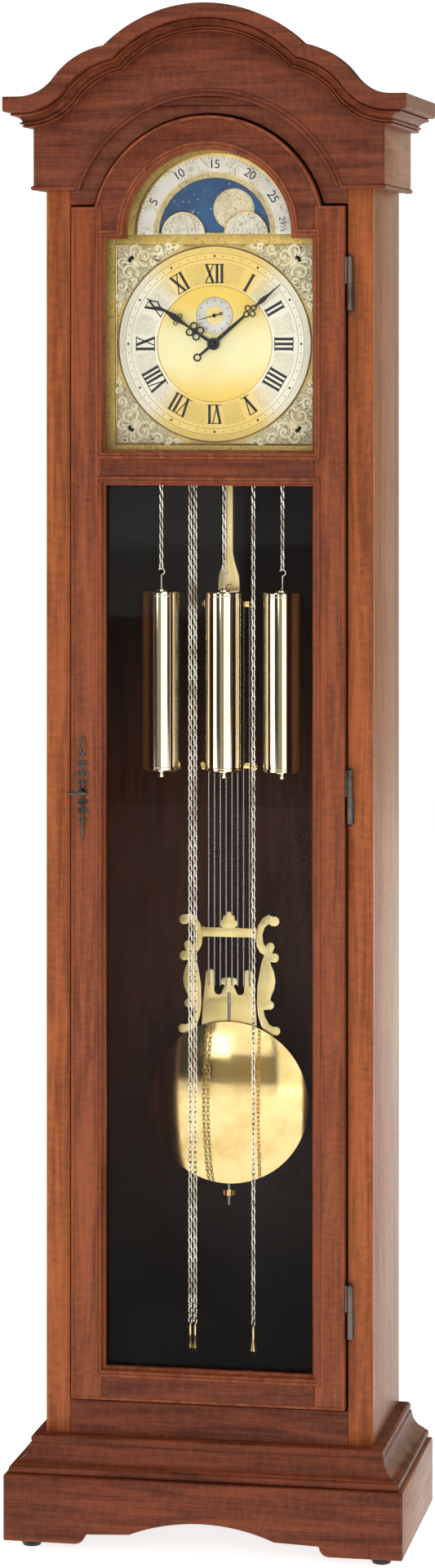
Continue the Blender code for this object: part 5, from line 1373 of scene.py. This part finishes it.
def lyre_arm():
    """The right arm's outline: an outward hook, two beads, a long leaf, a knob and a curl at the foot."""
    outer = arc(0.0645, 0.8364, 0.0068, -100, 110, 10)
    outer += [(0.0560, 0.8455), (0.0480, 0.8410), (0.0410, 0.8300), (0.0378, 0.8150), (0.0392, 0.8010),
              (0.0440, 0.7925), (0.0500, 0.7890), (0.0462, 0.7790), (0.0442, 0.7690), (0.0425, 0.7590),
              (0.0400, 0.7450), (0.0395, 0.7200), (0.0410, 0.7050), (0.0460, 0.6880), (0.0560, 0.6760)]
    outer += arc(0.0662, 0.6832, 0.0062, -110, 120, 10)
    outer += [(0.0570, 0.6920), (0.0510, 0.7020), (0.0487, 0.7118)]
    outer += arc(0.0575, 0.7190, 0.0062, -110, 80, 8)
    outer += [(0.0590, 0.7300), (0.0640, 0.7420), (0.0660, 0.7530), (0.0635, 0.7660), (0.0580, 0.7790)]
    outer += arc(0.0640, 0.7855, 0.0066, -120, 120, 10)
    outer += arc(0.0585, 0.8010, 0.0058, -20, 190, 10)
    return outer + [(0.0485, 0.8060), (0.0470, 0.8170), (0.0500, 0.8270), (0.0560, 0.8330), (0.0610, 0.8300)]


def lyre_plate():
    """The plate at the lyre's foot: two posts, two round notches and a curled middle, from left to right."""
    foot = BOB_Z + BOB_R - 0.020
    line = [(-0.0400, foot), (-0.0375, 0.7200), (-0.0335, 0.7560)]
    line += arc(-0.0270, 0.7610, 0.0064, 170, 10, 8)
    line += [(-0.0215, 0.7450)] + arc(-0.0150, 0.7385, 0.0064, 190, 300, 6)
    line += arc(-0.0095, 0.7440, 0.0030, -60, 60, 4) + [(-0.0120, 0.7470)]
    line += arc(-0.0060, 0.7490, 0.0068, 200, 60, 7) + [(0, 0.7570)]
    return line


def make_lyre():
    form = bmesh.new()
    half = lyre_plate()
    outline = half + [(-x, z) for x, z in reversed(half[:-1])]
    front, back = SWING_Y + 0.0003, SWING_Y + 0.0029
    add_plate(form, [outline], front, back, 0.0004)
    arm = lyre_arm()
    for side in (-1, 1):
        add_plate(form, [[(side * x, z) for x, z in arm]], front, back, 0.0004)
    bar = BAR_LYRE
    line = [(0.0085, bar + 0.0066), (0.0335, bar + 0.0060), (0.0375, bar + 0.0080), (0.0395, bar + 0.0040),
            (0.0385, bar - 0.0080), (0.0345, bar - 0.0064), (0, bar - 0.0066)]
    crown = arc(0.0085, bar + 0.0125, 0.0046, -60, 90, 6) + arc(0.0050, bar + 0.0205, 0.0034, 0, 100, 5)
    crown += arc(0, bar + 0.0250, 0.0040, 20, 90, 4)
    right = list(reversed(crown)) + line
    outline = right + [(-x, z) for x, z in reversed(right) if x > 1e-6]
    add_plate(form, [outline], SWING_Y - 0.0028, SWING_Y + 0.0004, 0.0005)
    finish_piece("lyre", form, lyre_brass, "pendulum", 40, ("pendulum_rod",))


def make_bob():
    face, depth = bob_high.y, bob_high.y - bob_low.y
    rim = 0.0016
    lens = [(BOB_R * at / 20, -rim - (depth - rim) * (1 - (at / 20) ** 2)) for at in range(20)]
    profile = lens + [(BOB_R - 0.0004, -rim), (BOB_R, -rim * 0.5), (BOB_R - 0.0004, 0), (0, 0)]
    turned_piece("bob_shell", profile, (0, face, BOB_Z), "Y", 96, brass, "pendulum", 30, ("pendulum_bob",))
    form = bmesh.new()
    y = (nut_low.y + nut_high.y) / 2
    add_rod(form, (0, y, rod_low.z + 0.002), (0, y, BOB_Z + BOB_R + 0.040), 0.0023, 16)
    add_rod(form, (0, y, rod_low.z), (0, y, rod_low.z + 0.002), 0.0013, 16, 0.0023)
    finish_piece("bob_hanger", form, steel, "pendulum", 40)
    form = bmesh.new()
    high, low = nut_high.z, nut_low.z
    add_turned(form, [(0.0028, high), (0.0062, high), (0.0078, high - 0.0014), (0.0078, low + 0.0014),
                      (0.0062, low), (0.0028, low)], (0, y, 0), "Z", 32)
    for number in range(24):
        angle = math.tau * number / 24
        x, dy = 0.00785 * math.cos(angle), 0.00785 * math.sin(angle)
        add_rod(form, (x, y + dy, low + 0.0016), (x, y + dy, high - 0.0016), 0.0004, 6)
    finish_piece("rating_nut_knurled", form, brass, "rating_nut", 40, ("rating_nut",))


make_leader()
make_grid()
make_lyre()
make_bob()


# ---- Escutcheon, key and hinges ----
lock = Vector(joints["key_turn"]["pos_m"])
PLATE_FRONT = DOOR_FRONT - 0.0004


def escutcheon_curls():
    """Curls of the pierced plate's right half, in metres from the keyhole."""
    curls = [spiral(*row) for row in (
        (0.0034, 0.0385, 0.0042, 0.0012, 200, 420), (0.0040, 0.0235, 0.0044, 0.0013, 160, -430),
        (0.0036, 0.0115, 0.0034, 0.0010, 100, -400), (0.0038, -0.0145, 0.0038, 0.0012, 200, 400),
        (0.0034, -0.0275, 0.0036, 0.0011, 140, -400), (0.0028, -0.0385, 0.0028, 0.0009, 180, 380))]
    curls.append([(0.0006, 0.076, 0.4), (0.0034, 0.0675, 0.8), (0.0040, 0.0610, 1.0), (0.0022, 0.0535, 0.9),
                  (0.0004, 0.0490, 0.7)])
    curls.append([(0.0004, 0.0500, 0.7), (0.0030, 0.0480, 0.8), (0.0052, 0.0520, 0.5)])
    return curls


form = bmesh.new()
for side in (-1, 1):
    for curl in escutcheon_curls():
        add_tube(form, [(lock.x + side * x, PLATE_FRONT - 0.0010, lock.z + z, thick) for x, z, thick in curl],
                 0.00125, 2)
add_turned(form, ring_profile(0.0034, 0.0062, -0.0024, 0, 0.0006), (lock.x, PLATE_FRONT, lock.z), "Y", 24)
add_tube(form, [(lock.x, PLATE_FRONT - 0.0008, lock.z + z, thick) for z, thick in
                ((0.052, 0.6), (0.030, 0.9), (0.006, 0.9))], 0.0013, 2)
add_tube(form, [(lock.x, PLATE_FRONT - 0.0008, lock.z + z, thick) for z, thick in
                ((-0.006, 0.9), (-0.030, 1.0), (-0.045, 1.2), (-0.060, 0.9), (-0.0665, 0.4))], 0.0014, 2)
for number in range(6):
    add_ball(form, (lock.x, PLATE_FRONT - 0.0010, lock.z - 0.0440 - 0.0036 * number),
             0.0028 - 0.00024 * number, (1, 0.6, 0.7), (10, 6))
finish_piece("escutcheon_scrolls", form, pewter, "door", 50, ("escutcheon",))

key_low, key_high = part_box("key")
form = bmesh.new()
bow_y = key_low.y + 0.0078
add_rod(form, (lock.x, bow_y + 0.0050, lock.z), (lock.x, key_high.y, lock.z), 0.0023, 16)
for y, radius in ((bow_y + 0.0075, 0.0034), (bow_y + 0.0130, 0.0040), (bow_y + 0.0185, 0.0034)):
    add_rod(form, (lock.x, y - 0.0010, lock.z), (lock.x, y + 0.0010, lock.z), radius, 20)
loop = [(lock.x + 0.0128 * math.cos(a), bow_y + 0.0058 * math.sin(a), lock.z)
        for a in [math.tau * step / 24 for step in range(24)]]
add_tube(form, loop, 0.0017, 2, True)
for side in (-1, 1):
    add_ball(form, (lock.x + side * 0.0128, bow_y, lock.z), 0.0022, (1, 1, 1), (12, 8))
finish_piece("key_turned", form, pewter, "key", 50, ("key",))
frame["nodes"]["lock_tongue"].data.materials[0] = pewter

hinge = joints["door_swing"]["pos_m"]
for level in ("low", "middle", "high"):
    low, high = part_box("hinge_case_" + level)[0].z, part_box("hinge_door_" + level)[1].z
    for body, z, way, title in (("case", low, -1, "foot"), ("door", high, 1, "head")):
        tip = [(out, way * up) for out, up in ((0, 0.0042), (0.0016, 0.0038), (0.0024, 0.0026),
                                               (0.0018, 0.0014), (0.0036, 0.0008), (0.0036, 0), (0, 0))]
        turned_piece(f"hinge_tip_{level}_{title}", tip, (hinge[0], hinge[1], z), "Z", 16, pewter, body, 50)


# ---- Finishes on carried-over pieces ----
PLAIN = {"dial_glass": glass, "pendulum_glass": glass, "dial_plate": plate_gilt}
for node_name in frame["nodes"]:
    if node_name.startswith(("great_wheel", "anchor", "movement")):
        PLAIN[node_name] = lyre_brass
    elif node_name.startswith("hinge"):
        PLAIN[node_name] = pewter
    elif node_name.startswith("glide"):
        PLAIN[node_name] = rubber
for node_name, finish in PLAIN.items():
    frame["nodes"][node_name].data.materials[0] = finish
